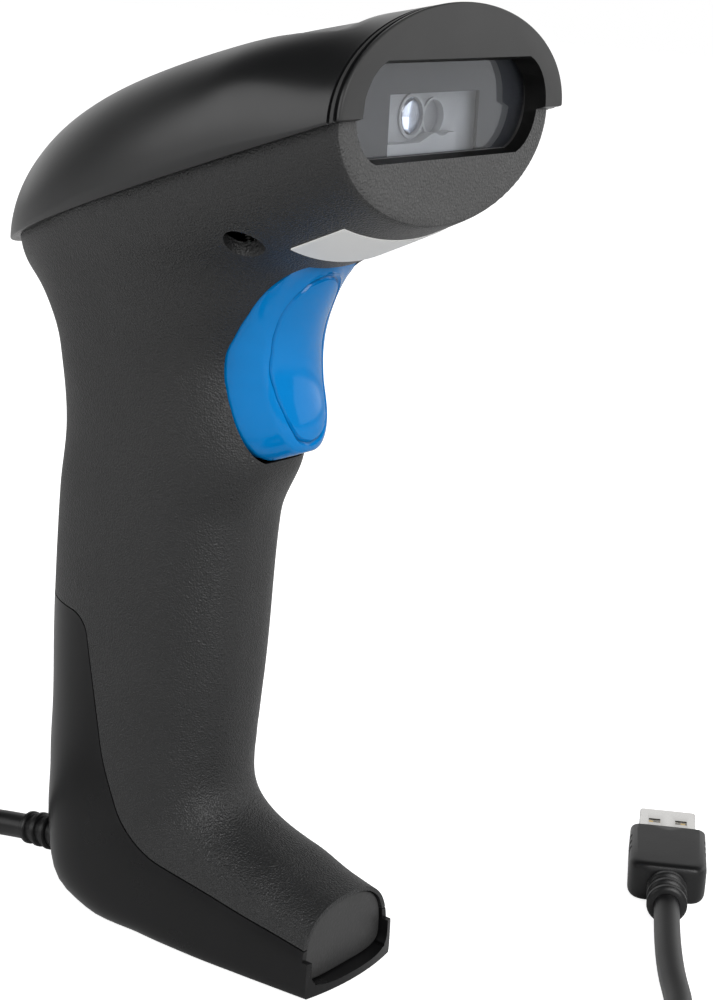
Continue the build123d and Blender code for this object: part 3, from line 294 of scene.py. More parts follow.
STRAP_RIB_PLACE = (27.0, 0, 13.75)
STRAP_RIB_PITCH = 0.85
BOOT_PLACE = (0.0, 32.6, 8.0)
BOOT_DROOP = 8.0
BOOT_LENGTH = 15.0
BOOT_ROOT = 3.9
BOOT_END = 3.2
CORD_OUT = [
    (0.0, 60.0, 4.1), (-6.5, 72.0, 2.8), (-20.0, 81.0, 2.8), (-43.0, 81.5, 2.8),
    (-69.0, 70.5, 2.8), (-92.0, 52.0, 2.8), (-111.0, 28.5, 2.8), (-124.0, 2.0, 2.8),
    (-128.0, -25.0, 2.9),
]
CORD_IN = [
    (-75.0, -88.0, 8.2), (-53.0, -90.0, 4.6), (-28.0, -96.5, 2.8), (-2.0, -101.0, 2.8),
    (24.0, -94.0, 2.8), (43.0, -79.7, 3.2),
]


# ---- node helpers


def new_object(name, data):
    thing = bpy.data.objects.new(name, data)
    SCENE.collection.objects.link(thing)
    return thing


def new_group(name, inputs, outputs):
    """A shader node group of number sockets; returns it with its two ends."""
    group = bpy.data.node_groups.new(name, "ShaderNodeTree")
    for label, value in inputs.items():
        socket = group.interface.new_socket(label, in_out="INPUT", socket_type="NodeSocketFloat")
        socket.default_value = value
    for label in outputs:
        group.interface.new_socket(label, in_out="OUTPUT", socket_type="NodeSocketFloat")
    return group, group.nodes.new("NodeGroupInput").outputs, group.nodes.new("NodeGroupOutput")


def feed(tree, node, **inputs):
    """Gives inputs, by their name or number, a value or another node's socket."""
    for key, value in inputs.items():
        socket = node.inputs[int(key[1:]) if key[1:].isdigit() else key.replace("_", " ")]
        if isinstance(value, bpy.types.NodeSocket):
            tree.links.new(value, socket)
        else:
            socket.default_value = value
    return node


def add(tree, kind, settings=None, family="Shader", **inputs):
    """A node with its settings and inputs."""
    node = tree.nodes.new(family + "Node" + kind)
    for key, value in (settings or {}).items():
        setattr(node, key, value)
    return feed(tree, node, **inputs)


def maths(tree, operation, *values, clamp=False):
    """Result of a sum on values or sockets."""
    node = add(tree, "Math", {"operation": operation, "use_clamp": clamp})
    feed(tree, node, **{f"i{number}": value for number, value in enumerate(values)})
    return node.outputs[0]


def ranged(tree, value, low, high, to_low=0.0, to_high=1.0, kind="LINEAR"):
    """A value's place between two limits, drawn out to two others."""
    node = add(tree, "MapRange", {"interpolation_type": kind}, Value=value,
               From_Min=low, From_Max=high, To_Min=to_low, To_Max=to_high)
    return node.outputs["Result"]


def noise(tree, place, scale, detail, roughness=0.5):
    node = add(tree, "TexNoise", Vector=place, Scale=scale, Detail=detail, Roughness=roughness)
    return node.outputs["Fac"]


def mixed(tree, share, first, second):
    return add(tree, "Mix", {"data_type": "RGBA"}, i0=share, i6=first, i7=second).outputs[2]


def bumped(tree, distance, height):
    return add(tree, "Bump", Strength=1.0, Distance=distance, Height=height).outputs["Normal"]


def new_paint(name, **inputs):
    """A material with inputs of its shader; returns it with its tree and shader."""
    paint = bpy.data.materials.new(name)
    paint.use_nodes = True
    tree = paint.node_tree
    return paint, tree, feed(tree, tree.nodes["Principled BSDF"], **inputs)


# ---- camera and light

CAMERA_LENS = 79.2
CAMERA_PLACE = (-0.30827, -0.25119, 0.19279)
CAMERA_RIGHT = (0.59125, -0.80462, 0.05485)
CAMERA_UP = (0.17564, 0.19484, 0.96498)
CAMERA_LOOK = (0.78713, 0.56091, -0.25652)
LEVEL_LOOK = (0.81, 0.58, 0)
AMBIENT = 0.4
MIRRORED_BEHIND = 0.8  # white background in mirrors, behind the object
MIRRORED_FRONT = 0.2
MIRRORED_CEILING = 0.02
WHITE = (1, 1, 1, 1)
FLOOR_REACH = 3.0
FLOOR_GREY = (0.72, 0.72, 0.72, 1)
FLOOR_GLOW = 0.85
MIRRORED_FLOOR = 0.08


def place_camera():
    """Camera level with the head, looking a little down."""
    data = bpy.data.cameras.new("camera")
    data.lens = CAMERA_LENS
    data.sensor_width = 36.0
    data.clip_start = 0.01
    camera = new_object("camera", data)
    turn = Matrix((Vector(CAMERA_RIGHT), Vector(CAMERA_UP), -Vector(CAMERA_LOOK))).transposed()
    camera.matrix_world = Matrix.Translation(CAMERA_PLACE) @ turn.to_4x4()
    SCENE.camera = camera


def softbox(name, place, aim, size, power):
    """A rectangular studio light that looks at a point."""
    data = bpy.data.lights.new(name, "AREA")
    data.shape = "RECTANGLE"
    data.size, data.size_y = size
    data.energy = power
    turn = (Vector(aim) - Vector(place)).to_track_quat("-Z", "Y").to_matrix().to_4x4()
    new_object(name, data).matrix_world = Matrix.Translation(place) @ turn


def open_view(tree, mirrored):
    """1 where the camera or glass looks, and a share of it in a mirror."""
    path = add(tree, "LightPath").outputs
    seen = maths(tree, "MAXIMUM", path["Is Camera Ray"], path["Is Transmission Ray"])
    return maths(tree, "MULTIPLY_ADD", path["Is Glossy Ray"], mirrored, seen, clamp=True)


def light_world():
    """White studio: soft as a light, white where seen, dim overhead in mirrors."""
    world = bpy.data.worlds.new("studio")
    SCENE.world = world
    world.use_nodes = True
    tree = world.node_tree
    tree.nodes.clear()
    direction = add(tree, "TexCoord").outputs["Generated"]
    height = add(tree, "SeparateXYZ", Vector=direction).outputs["Z"]
    towards = add(tree, "VectorMath", {"operation": "DOT_PRODUCT"}, i0=direction, i1=LEVEL_LOOK)
    level = ranged(tree, towards.outputs["Value"], 0.3, 0.9, MIRRORED_FRONT, MIRRORED_BEHIND,
                   "SMOOTHSTEP")
    mirrored = ranged(tree, height, 0.28, 0.7, level, MIRRORED_CEILING, "SMOOTHSTEP")
    glossy = add(tree, "LightPath").outputs["Is Glossy Ray"]
    soft = maths(tree, "MULTIPLY_ADD", glossy, -AMBIENT, AMBIENT)
    strength = maths(tree, "MAXIMUM", open_view(tree, mirrored), soft)
    light = add(tree, "Background", Strength=strength, Color=WHITE)
    add(tree, "OutputWorld", Surface=light.outputs[0])


def lay_floor():
    """Pale floor, white where it is seen unshaded, that keeps the shadow."""
    mesh = bpy.data.meshes.new("floor")
    corners = [(-1, -1), (1, -1), (1, 1), (-1, 1)]
    points = [(x * FLOOR_REACH, y * FLOOR_REACH, 0) for x, y in corners]
    mesh.from_pydata(points, [], [(0, 1, 2, 3)])
    paint, tree, shader = new_paint("floor_paint", Base_Color=FLOOR_GREY, Roughness=0.9,
                                    Specular_IOR_Level=0.1, Emission_Color=WHITE)
    glow = maths(tree, "MULTIPLY", open_view(tree, MIRRORED_FLOOR), FLOOR_GLOW)
    feed(tree, shader, Emission_Strength=glow)
    mesh.materials.append(paint)
    floor = new_object("floor", mesh)


SCENE.view_settings.view_transform = "Standard"
place_camera()
light_world()
lay_floor()
softbox("key", (-0.55, -0.95, 0.75), (0, 0, 0.1), (0.8, 0.8), 15.0)
softbox("right_card", (1.0, -0.76, 0.44), (0, 0, 0.12), (1.5, 0.7), 4.2)
softbox("left_card", (-0.9, 0.72, 0.5), (0, 0, 0.14), (0.8, 0.85), 4.5)


# ---- mesh helpers


def sweep(turn, steps):
    """Even angles over part of a turn, with both its ends."""
    return [turn * i / steps for i in range(steps + 1)]


def around(sides):
    """Even angles of a full turn."""
    return sweep(2 * math.pi, sides)[:-1]


def circle(radius, sides, centre=(0.0, 0.0)):
    a, b = centre
    return [(a + radius * math.cos(t), b + radius * math.sin(t)) for t in around(sides)]


def squared(angle, half_width, half_height, exponent):
    """A place on an oblong with rounded corners, at an angle."""
    c, s = math.cos(angle), math.sin(angle)
    return (half_width * math.copysign(abs(c) ** exponent, c),
            half_height * math.copysign(abs(s) ** exponent, s))


def rounded_edge(radius, steps):
    """How far back and how far in a rounded edge lies, from its front."""
    return [(radius * (1 - math.cos(a)), radius * (1 - math.sin(a)))
            for a in sweep(math.pi / 2, steps)]


def spin(degrees, axis):
    return Matrix.Rotation(math.radians(degrees), 4, axis)


def smooth_step(low, high, value):
    t = min(1.0, max(0.0, (value - low) / (high - low)))
    return t * t * (3 - 2 * t)


def make_piece(name, points, faces):
    """An object from points in millimetres."""
    mesh = bpy.data.meshes.new(name)
    mesh.from_pydata([(x * MM, y * MM, z * MM) for x, y, z in points], [], faces)
    shape = bmesh.new()
    shape.from_mesh(mesh)
    bmesh.ops.recalc_face_normals(shape, faces=shape.faces)
    shape.to_mesh(mesh)
    shape.free()
    return new_object(name, mesh)


def loft(name, rings):
    """Closed skin through rings of equal count, with flat ends."""
    count = len(rings[0])
    points = [point for ring in rings for point in ring]
    faces = []
    for low in range(0, len(points) - count, count):
        for i in range(count):
            j, high = (i + 1) % count, low + count
            faces.append((low + i, low + j, high + j, high + i))
    faces += [tuple(range(count)), tuple(range(len(points) - count, len(points)))]
    return make_piece(name, points, faces)


def prism(name, outline, low, high, axis="x"):
    """A flat outline drawn out along an axis: (y, z) for "x", (x, z) for "y"."""
    place = {
        "x": lambda a, b, c: (c, a, b),
        "y": lambda a, b, c: (a, c, b),
        "z": lambda a, b, c: (a, b, c),
    }[axis]
    return loft(name, [[place(a, b, c) for a, b in outline] for c in (low, high)])


def block(name, low, high):
    outline = [(low[0], low[1]), (high[0], low[1]), (high[0], high[1]), (low[0], high[1])]
    return prism(name, outline, low[2], high[2], "z")


def bake(piece):
    """Applies a piece's modifiers to its mesh."""
    graph = bpy.context.evaluated_depsgraph_get()
    mesh = bpy.data.meshes.new_from_object(piece.evaluated_get(graph))
    piece.modifiers.clear()
    piece.data = mesh
    return piece


def cut(piece, *tools, how="DIFFERENCE"):
    """Takes tools away from a piece, or joins or keeps what they share."""
    for tool in tools:
        step = piece.modifiers.new("cut", "BOOLEAN")
        step.operation = how
        step.object = tool
        step.solver = "MANIFOLD"
        bake(piece)
        bpy.data.objects.remove(tool)
    return piece


def finish(piece, body, slot, paint, *nodes, angle=35.0):
    """Shades a piece, crisp over an angle; gives it its body and material and hides the CAD nodes
    it stands for; its slot is not used.
    """
    mesh = piece.data
    mesh.polygons.foreach_set("use_smooth", [True] * len(mesh.polygons))
    mesh.set_sharp_from_angle(angle=math.radians(angle))
    mesh.materials.clear()
    mesh.materials.append(paint)
    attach(piece, body)
    if nodes:
        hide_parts(*nodes)
    return piece


def second_paint(piece, paint, belongs):
    """Gives the faces that belong, by middle and normal in millimetres, a paint."""
    mesh = piece.data
    mesh.materials.append(paint)
    index = len(mesh.materials) - 1
    for face in mesh.polygons:
        if belongs(face.center / MM, face.normal):
            face.material_index = index


REPEAT_INPUTS = {
    "Piece": "Object", "Count": "Int", "First": "Vector", "Step": "Vector", "Turn": "Vector",
    "Taper": "Float", "Finish": "Material",
}


def repeat_tree():
    """Geometry tree: copies of a piece in a row, each a little smaller, as one mesh."""
    tree = bpy.data.node_groups.new("row_of_copies", "GeometryNodeTree")
    for label, kind in REPEAT_INPUTS.items():
        tree.interface.new_socket(label, in_out="INPUT", socket_type="NodeSocket" + kind)
    tree.interface.new_socket("Geometry", in_out="OUTPUT", socket_type="NodeSocketGeometry")
    given = tree.nodes.new("NodeGroupInput").outputs
    row = add(tree, "MeshLine", {"mode": "OFFSET"}, "Geometry", Count=given["Count"],
              Start_Location=given["First"], Offset=given["Step"])
    source = add(tree, "ObjectInfo", family="Geometry", Object=given["Piece"])
    number = add(tree, "InputIndex", family="Geometry")
    size = maths(tree, "MULTIPLY_ADD", number.outputs[0], given["Taper"], 1.0)
    spread = add(tree, "InstanceOnPoints", family="Geometry", Points=row.outputs["Mesh"],
                 Instance=source.outputs["Geometry"], Rotation=given["Turn"], Scale=size)
    real = add(tree, "RealizeInstances", family="Geometry", i0=spread.outputs[0])
    coat = add(tree, "SetMaterial", family="Geometry", Geometry=real.outputs[0],
               Material=given["Finish"])
    feed(tree, tree.nodes.new("NodeGroupOutput"), Geometry=coat.outputs["Geometry"])
    return tree


ROW_TREE = repeat_tree()


def row_of(piece, name, count, first, step, paint, turn=(0, 0, 0), taper=0.0):
    """A row of copies of a piece, placed in millimetres; the pattern piece goes."""
    row = make_piece(name, [(0, 0, 0)], [])
    copies = row.modifiers.new("row", "NODES")
    copies.node_group = ROW_TREE
    values = {
        "Piece": piece, "Count": count, "First": Vector(first) * MM, "Step": Vector(step) * MM,
        "Turn": Vector(turn), "Taper": taper, "Finish": paint,
    }
    for socket in ROW_TREE.interface.items_tree:
        if socket.in_out == "INPUT":
            copies[socket.identifier] = values[socket.name]
    bake(row)
    bpy.data.objects.remove(piece)
    return row


def join(piece, *others):
    """Puts other pieces' meshes into one piece."""
    shape = bmesh.new()
    for part in (piece, *others):
        shape.from_mesh(part.data)
    shape.to_mesh(piece.data)
    shape.free()
    for part in others:
        bpy.data.objects.remove(part)
    return piece


def moved(piece, matrix):
    """Places a piece by a matrix in millimetres, in its mesh."""
    step = matrix.copy()
    step.translation = step.translation * MM
    piece.data.transform(step)
    return piece


def turned_form(name, profile, sides=48):
    """Closed round form along Y from (y, radius) places."""
    return loft(name, [[(x, y, z) for z, x in circle(radius, sides)] for y, radius in profile])


def soft_block(name, stations, power=6.0, steps=10):
    """Closed form along Y from (y, half-width, half-height) places, corners rounded."""
    rings = []
    for y, half_width, half_height in stations:
        flat = [squared(a, half_width, half_height, 2 / power) for a in around(4 * steps)]
        rings.append([(x, y, z) for x, z in flat])
    return loft(name, rings)


def split_at(piece, y):
    """A clean line of edges round a piece at a depth in millimetres."""
    shape = bmesh.new()
    shape.from_mesh(piece.data)
    parts = shape.verts[:] + shape.edges[:] + shape.faces[:]
    bmesh.ops.bisect_plane(shape, geom=parts, plane_co=(0, y * MM, 0), plane_no=(0, 1, 0))
    shape.to_mesh(piece.data)
    shape.free()
    return piece


# ---- shared forms


def seam_z(y):
    """Height of the seam of cover and body."""
    return SEAM_HEIGHT - (y - NOSE_Y) * math.tan(math.radians(HEAD_PITCH))


# The head's own frame: y back along the seam, z up from it.
HEAD_PLACE = Matrix.Translation((0, NOSE_Y, SEAM_HEIGHT)) @ spin(-HEAD_PITCH, "X")


def in_head(points):
    return [tuple(HEAD_PLACE @ Vector(p)) for p in points]


def plan_share(u):
    """Share of the head's half-width at a share of its length."""
    closing = max(0.0, (u - PLAN_START) / (1 - PLAN_START))
    return math.sqrt(max(0.0, 1 - closing**PLAN_POWER))


def crown(u):
    """Height of the cover over the seam."""
    swell = CROWN_SWELL * math.sin(math.pi / 2 * min(1.0, u / 0.55))
    return (CROWN_NOSE + swell) * math.sqrt(1 - u**10)


def belly(u):
    """Depth of the body under the seam."""
    swell = BELLY_SWELL * math.sin(math.pi / 2 * min(1.0, u / 0.5))
    return (BELLY_NOSE + swell) * (1 - u**6) ** 0.75


def head_shares(count):
    return [math.sin(a) for a in sweep(math.pi / 2, count)[:-1]] + [HEAD_END]


def rising_curve(stations, values):
    """Smooth curve through values that never overshoots them."""
    x, y = np.array(stations, float), np.array(values, float)
    h, d = np.diff(x), np.diff(y) / np.diff(x)
    slope = np.zeros(len(x))
    slope[0], slope[-1] = d[0], d[-1]
    for i in range(1, len(x) - 1):
        if d[i - 1] * d[i] > 0:
            w1, w2 = 2 * h[i] + h[i - 1], h[i] + 2 * h[i - 1]
            slope[i] = (w1 + w2) / (w1 / d[i - 1] + w2 / d[i])

    def at(p):
        i = int(np.clip(np.searchsorted(x, p) - 1, 0, len(h) - 1))
        t = (p - x[i]) / h[i]
        a = (1 + 2 * t) * (1 - t) ** 2 * y[i] + t * (1 - t) ** 2 * h[i] * slope[i]
        return a + t * t * (3 - 2 * t) * y[i + 1] + t * t * (t - 1) * h[i] * slope[i + 1]

    return at


def limb_stations():
    """Place along the limb and its section: inner, outer, half-width, power, widest."""
    rows = []
    for z, front, rear, half_width in GRIP_SECTIONS:
        rows.append((BEND_Z - z, front - BEND_Y, rear - BEND_Y, half_width, GRIP_REAR_POWER,
                     GRIP_WIDEST))
    for angle, *section in BEND_SECTIONS:
        rows.append((math.radians(angle) * BEND_MIDDLE, *section))
    outer, power, widest = BEND_SECTIONS[-1][2], BEND_SECTIONS[-1][4], BEND_SECTIONS[-1][5]
    for y, top, half_width in TOE_SECTIONS:
        rows.append((BEND_LENGTH + BEND_Y - y, BEND_Z - top, outer, half_width, power, widest))
    return rows


LIMB_ROWS = limb_stations()
LIMB_CURVES = [
    rising_curve([row[0] for row in LIMB_ROWS], [row[k] for row in LIMB_ROWS])
    for k in range(1, 6)
]


def limb_place(p):
    """Turns a section point (across, distance) into a place, at p along the limb."""
    if p <= 0:
        return lambda x, r: (x, BEND_Y + r, BEND_Z - p)
    if p < BEND_LENGTH:
        c, s = math.cos(p / BEND_MIDDLE), math.sin(p / BEND_MIDDLE)
        return lambda x, r: (x, BEND_Y + r * c, BEND_Z - r * s)
    y = BEND_Y - (p - BEND_LENGTH)
    return lambda x, r: (x, y, BEND_Z - r)


def section_ring(place, inner, outer, half_width, power, widest, steps):
    """Rounded section whose inner and outer halves differ in roundness."""
    turn = outer - (outer - inner) * widest
    quarter = []
    for i in range(steps):
        a = math.pi / 2 * i / steps
        across = half_width * math.sin(a) ** (2 / GRIP_POWER)
        quarter.append((across, turn - (turn - inner) * math.cos(a) ** (2 / GRIP_POWER)))
    for i in range(steps + 1):
        a = math.pi / 2 * (1 - i / steps)
        across = half_width * math.sin(a) ** (2 / power)
        quarter.append((across, turn + (outer - turn) * max(0.0, math.cos(a)) ** (2 / power)))
    right = [place(x, r) for x, r in quarter]
    left = [place(-x, r) for x, r in reversed(quarter[1:-1])]
    return right + left


def limb_rings(inset, start, end, spacing=1.6, steps=20):
    """Sections of the grip, bend and foot, less a wall."""
    rings = []
    count = max(2, round((end - start) / spacing))
    for i in range(count + 1):
        p = start + (end - start) * i / count
        inner, outer, half_width, power, widest = [curve(p) for curve in LIMB_CURVES]
        section = (inner + inset, outer - inset, half_width - inset, power, widest)
        rings.append(section_ring(limb_place(p), *section, steps))
    return rings


LIMB_TOP = BEND_Z - GRIP_HEIGHT
LIMB_END = LIMB_ROWS[-1][0]


def under(height):
    """Everything round the foot that lies lower than a height."""
    return block("low", (-60, -90, -30), (60, 90, height))


def limb_form(name, inset=0.0):
    """Outside of the grip and foot, with the sole cut level."""
    return cut(loft(name, limb_rings(inset, LIMB_TOP, LIMB_END)), under(SOLE_HEIGHT + inset))


def limb_hollow():
    """Room inside the grip and foot, with a level floor."""
    hollow = loft("hollow", limb_rings(BODY_WALL, LIMB_TOP + 10, LIMB_END, 4.0, 8))
    return cut(hollow, under(SOLE_HEIGHT + BODY_WALL))


def belly_form(name, inset=0.0):
    """Outside of the body under the seam, its nose edge rounded."""
    length = HEAD_LENGTH - COVER_OVERHANG - inset
    half = HEAD_HALF_WIDTH - COVER_OVERHANG - inset
    places = [(FACE_SETBACK + back, shy) for back, shy in rounded_edge(BELLY_ROUND, 4)]
    rest = FACE_SETBACK + BELLY_ROUND + 0.3
    places += [(u * length, 0.0) for u in head_shares(44) if u * length > rest]
    rings = []
    for back, shy in places:
        u, y = min(back / length, HEAD_END), NOSE_Y + back
        drop, width = belly(u) - inset - shy, half * plan_share(u) - shy
        ring = [(width * math.cos(a), y, seam_z(y) - drop * math.sin(a))
                for a in sweep(math.pi, 64)]
        rings.append(ring + [(side * width, y, seam_z(y) + 3.0) for side in (-1, 1)])
    return loft(name, rings)


def above_seam(name):
    """Everything over the slanted seam of cover and body."""
    near, far, high = NOSE_Y - 40, NOSE_Y + 150, 260
    outline = [(near, high), (near, seam_z(near)), (far, seam_z(far)), (far, high)]
    return prism(name, outline, -60, 60)


def rounded_corners(points, radii):
    """A line through points with tangent arcs at its inner corners."""
    steps = 10
    line = [points[0]]
    for before, corner, after, radius in zip(points, points[1:], points[2:], radii):
        a = (Vector(before) - Vector(corner)).normalized()
        b = (Vector(after) - Vector(corner)).normalized()
        half = a.angle(b) / 2
        reach = radius / math.tan(half)
        centre = Vector(corner) + (a + b).normalized() * radius / math.sin(half)
        first = Vector(corner) + a * reach - centre
        last = Vector(corner) + b * reach - centre
        swing = first.angle_signed(last)
        for i in range(steps + 1):
            turned = Matrix.Rotation(-swing * i / steps, 2) @ first
            line.append(tuple(centre + turned))
    return line + [points[-1]]


def base_region(name, gap):
    """Side-view room of the base shell, less a parting gap."""
    edge = [(BASE_EDGE_REAR[0], BASE_EDGE_REAR[1] - gap)]
    edge += [(y + gap * 0.8, z - gap) for y, z in BASE_EDGE]
    edge.append((BASE_EDGE_TOE[0], BASE_EDGE_TOE[1] - gap))
    outline = rounded_corners(edge, BASE_EDGE_RADII)
    return prism(name, outline + [(BASE_EDGE_TOE[0], -20), (BASE_EDGE_REAR[0], -20)], -50, 50)


def window_outline(grow):
    """The window's outline: straight long edges and arched ends."""
    steps = 14
    half_height = WINDOW_HALF_HEIGHT + grow
    straight = WINDOW_HALF_STRAIGHT + grow / 2
    bulge = WINDOW_HALF_WIDTH + grow - straight
    radius = (half_height**2 + bulge**2) / (2 * bulge)
    reach = math.asin(min(1.0, half_height / radius))
    if bulge > radius:
        reach = math.pi - reach
    middle = straight + bulge - radius
    right = [(middle + radius * math.cos(a), radius * math.sin(a)) for a in
             [reach * (2 * i / steps - 1) for i in range(steps + 1)]]
    left = [(-x, -z) for x, z in right]
    lift = SEAM_HEIGHT + WINDOW_RISE
    return [(x, z + lift) for x, z in right + left]


def window_prism(name, grow, front, back):
    return prism(name, window_outline(grow), front, back, "y")


def window_room(name):
    """Room for the window: a tapered opening in the face and the frame's seat."""
    face = NOSE_Y + FACE_WALL
    rings = []
    for y, grow in ((NOSE_Y - 1, 0.4), (face + 0.01, 0.2 - OPENING_DRAFT)):
        rings.append([(x, y, z - OPENING_DROP) for x, z in window_outline(grow)])
    opening = loft(name, rings)
    seat = window_prism("seat", FRAME_EDGE, face, face + FRAME_DEPTH)
    return cut(opening, seat, how="UNION")


# ---- paints

RUBBED_GAIN = 2.2  # how much lighter a rubbed edge is
RUBBED_LIFT = 0.02
# painted shade: the share of its colour that a crease or hollow keeps
HOLLOW_PAINTED_SHADE = 0.45
DRAWN_SCALE = (60, 9000, 9000)  # streaks along the plug


def leather_grain():
    """Fine moulded grain: small rounded cells with creases between them."""
    group, given, out = new_group("leather_grain", {"Cell": 0.0006, "Creases": 0.5},
                                  ["Height", "Shade"])
    place = add(group, "TexCoord").outputs["Object"]
    scale = maths(group, "DIVIDE", 1.0, given["Cell"])
    cells = add(group, "TexVoronoi", {"feature": "SMOOTH_F1"}, Vector=place, Scale=scale,
                Randomness=1.0)
    blend = add(group, "Mix", {"data_type": "FLOAT"}, i0=given["Creases"],
                i2=noise(group, place, scale, 2.0), i3=cells.outputs["Distance"])
    feed(group, out, Height=blend.outputs[0], Shade=noise(group, place, 60.0, 3.0))
    return group


def wear_and_painted_shade():
    """Handled look: soft smudges and edges rubbed lighter; creases and hollows darkened with
    painted shade.
    """
    group, given, out = new_group("wear_and_painted_shade", {"Smudge": 0.1, "Base": 0.4, "Rub": 0.3},
                                  ["Roughness", "Edge", "Hollow"])
    place = add(group, "TexCoord").outputs["Object"]
    smears = ranged(group, noise(group, place, 45.0, 4.0, 0.6), 0.3, 0.7, -0.5, 0.5)
    shape = add(group, "NewGeometry").outputs["Pointiness"]
    edge = maths(group, "MULTIPLY", ranged(group, shape, 0.52, 0.6),
                 noise(group, place, 300.0, 3.0))
    feed(group, out, Roughness=maths(group, "MULTIPLY_ADD", smears, given["Smudge"], given["Base"]),
         Edge=maths(group, "MULTIPLY", edge, given["Rub"]),
         # painted shade: 1 where the mesh folds inward, in creases and hollows
         Hollow=ranged(group, shape, 0.485, 0.44))
    return group


GRAIN = {"node_tree": leather_grain()}
WEAR_AND_SHADE = {"node_tree": wear_and_painted_shade()}


def toned(colour, factor, lift=0.0):
    return tuple(min(1.0, c * factor + lift) for c in colour) + (1,)


def plastic(name, colour, roughness, grain=0.0, cell=0.0006, creases=0.5, tone=0.15,
            smudge=0.08, rub=0.25, gloss=0.5):
    """Moulded plastic: grain, tone drift, smudges, rubbed edges and painted shade in its creases.
    """
    paint, tree, shader = new_paint(name, Specular_IOR_Level=gloss)
    texture = add(tree, "Group", GRAIN, Cell=cell, Creases=creases).outputs
    wear = add(tree, "Group", WEAR_AND_SHADE, Smudge=smudge, Base=roughness, Rub=rub).outputs
    drift = mixed(tree, texture["Shade"], toned(colour, 1 - tone), toned(colour, 1 + tone))
    worn = mixed(tree, wear["Edge"], drift, toned(colour, RUBBED_GAIN, RUBBED_LIFT))
    # painted shade: creases and hollows darkened where shade falls
    crease_shaded = mixed(tree, wear["Hollow"], worn, toned(colour, HOLLOW_PAINTED_SHADE))
    feed(tree, shader, Base_Color=crease_shaded, Roughness=wear["Roughness"])
    if grain:
        feed(tree, shader, Normal=bumped(tree, grain, texture["Height"]))
    return paint


def metal(name, colour, roughness, streak=0.0):
    """Plated steel with fine drawn streaks and dull patches."""
    paint, tree, shader = new_paint(name, Base_Color=toned(colour, 1), Metallic=1.0)
    wear = add(tree, "Group", WEAR_AND_SHADE, Smudge=0.12, Base=roughness, Rub=0.0)
    feed(tree, shader, Roughness=wear.outputs["Roughness"])
    if streak:
        along = add(tree, "Mapping", Vector=add(tree, "TexCoord").outputs["Object"],
                    Rotation=(0, 0, math.radians(-PLUG_HEADING)), Scale=DRAWN_SCALE)
        lines = noise(tree, along.outputs[0], 1.0, 2.0)
        feed(tree, shader, Normal=bumped(tree, streak, lines))
    return paint


def clear(name, tint, roughness=0.02, index=1.5, gloss=0.5):
    """Clear glass or plastic with a tint."""
    return new_paint(name, Base_Color=toned(tint, 1), Transmission_Weight=1.0,
                     Roughness=roughness, IOR=index, Specular_IOR_Level=gloss)[0]


COVER_BLACK = plastic("cover_satin_black", (0.006, 0.0062, 0.0066), 0.3, 0.000004, 0.0009, 0.3)
COVER_FACE = plastic("cover_face_grey", (0.025, 0.025, 0.025), 0.5, 0.000006, 0.0007, 0.3,
                     tone=0.04, gloss=0.35)
BODY_GRAIN = plastic("body_grained", (0.015, 0.0152, 0.0155), 0.45, 0.0003, 0.00032, 0.65,
                     gloss=0.4)
NOSE_GRAIN = plastic("nose_grained", (0.05, 0.05, 0.05), 0.5, 0.00055, 0.00042, 0.6, gloss=0.4)
TOE_GRAIN = plastic("toe_grained", (0.028, 0.028, 0.028), 0.5, 0.0001, 0.0006, 0.5)
BASE_BLACK = plastic("base_smooth_black", (0.0045, 0.0045, 0.0048), 0.3, 0.000004, 0.0009, 0.3,
                     gloss=0.22)
TRIGGER_BLUE = plastic("trigger_azure", (0.0, 0.165, 0.46), 0.12, 0.0, tone=0.04, smudge=0.05,
                       rub=0.05, gloss=0.22)
FRAME_PRINT = plastic("window_border_print", (0.026, 0.0275, 0.032), 0.5, 0.0, tone=0.04, gloss=0.2)
# the opening's walls: near-black and dull, partly their dark plastic and partly painted shade of
# the deep recess
OPENING_BLACK_AND_SHADE = plastic("opening_black_and_shade", (0.002, 0.002, 0.002), 0.6, 0.0, gloss=0.08)
CHASSIS_GREY = plastic("chassis_light_grey", (0.27, 0.275, 0.29), 0.42, 0.00001, 0.0008, 0.3,
                       tone=0.1)
PART_GREY = plastic("part_grey", (0.09, 0.09, 0.1), 0.35, 0.0, tone=0.1)
PART_BLACK = plastic("part_black", (0.012, 0.012, 0.012), 0.4, 0.000008, 0.0007, 0.3)
BOARD_GREEN = plastic("solder_mask_green", (0.01, 0.09, 0.035), 0.3, 0.000006, 0.002, 0.2)
LAMP_RED = plastic("lamp_red", (0.45, 0.02, 0.015), 0.15, 0.0)
IVORY = plastic("ivory_plastic", (0.72, 0.7, 0.64), 0.4, 0.000006, 0.0008, 0.3)
PAD_RUBBER = plastic("pad_rubber", (0.012, 0.012, 0.012), 0.75, 0.00003, 0.0008, 0.6)
LABEL_WHITE = plastic("label_white", (0.68, 0.68, 0.67), 0.45, 0.000006, 0.0012, 0.2, tone=0.03)
JACKET_BLACK = plastic("jacket_black", (0.006, 0.006, 0.0063), 0.38, 0.000012, 0.0007, 0.4,
                       gloss=0.35)
STRAP_WEAVE = plastic("strap_weave", (0.012, 0.012, 0.013), 0.7, 0.00015, 0.0005, 0.8, gloss=0.3)
STEEL = metal("spring_steel", (0.56, 0.56, 0.57), 0.28)
ZINC = metal("zinc_plate", (0.62, 0.62, 0.6), 0.32)
PLUG_STEEL = metal("plug_nickel", (0.8, 0.79, 0.77), 0.2, 0.0000015)
GOLD = metal("contact_gold", (0.83, 0.6, 0.26), 0.22)
WINDOW_CLEAR = clear("window_clear", (0.93, 0.95, 0.97), gloss=0.12)
LENS_GLASS = clear("lens_coated", (0.78, 0.84, 0.98), 0.01, 1.6)
MIRROR = metal("mirror_coat", (0.88, 0.89, 0.92), 0.05)

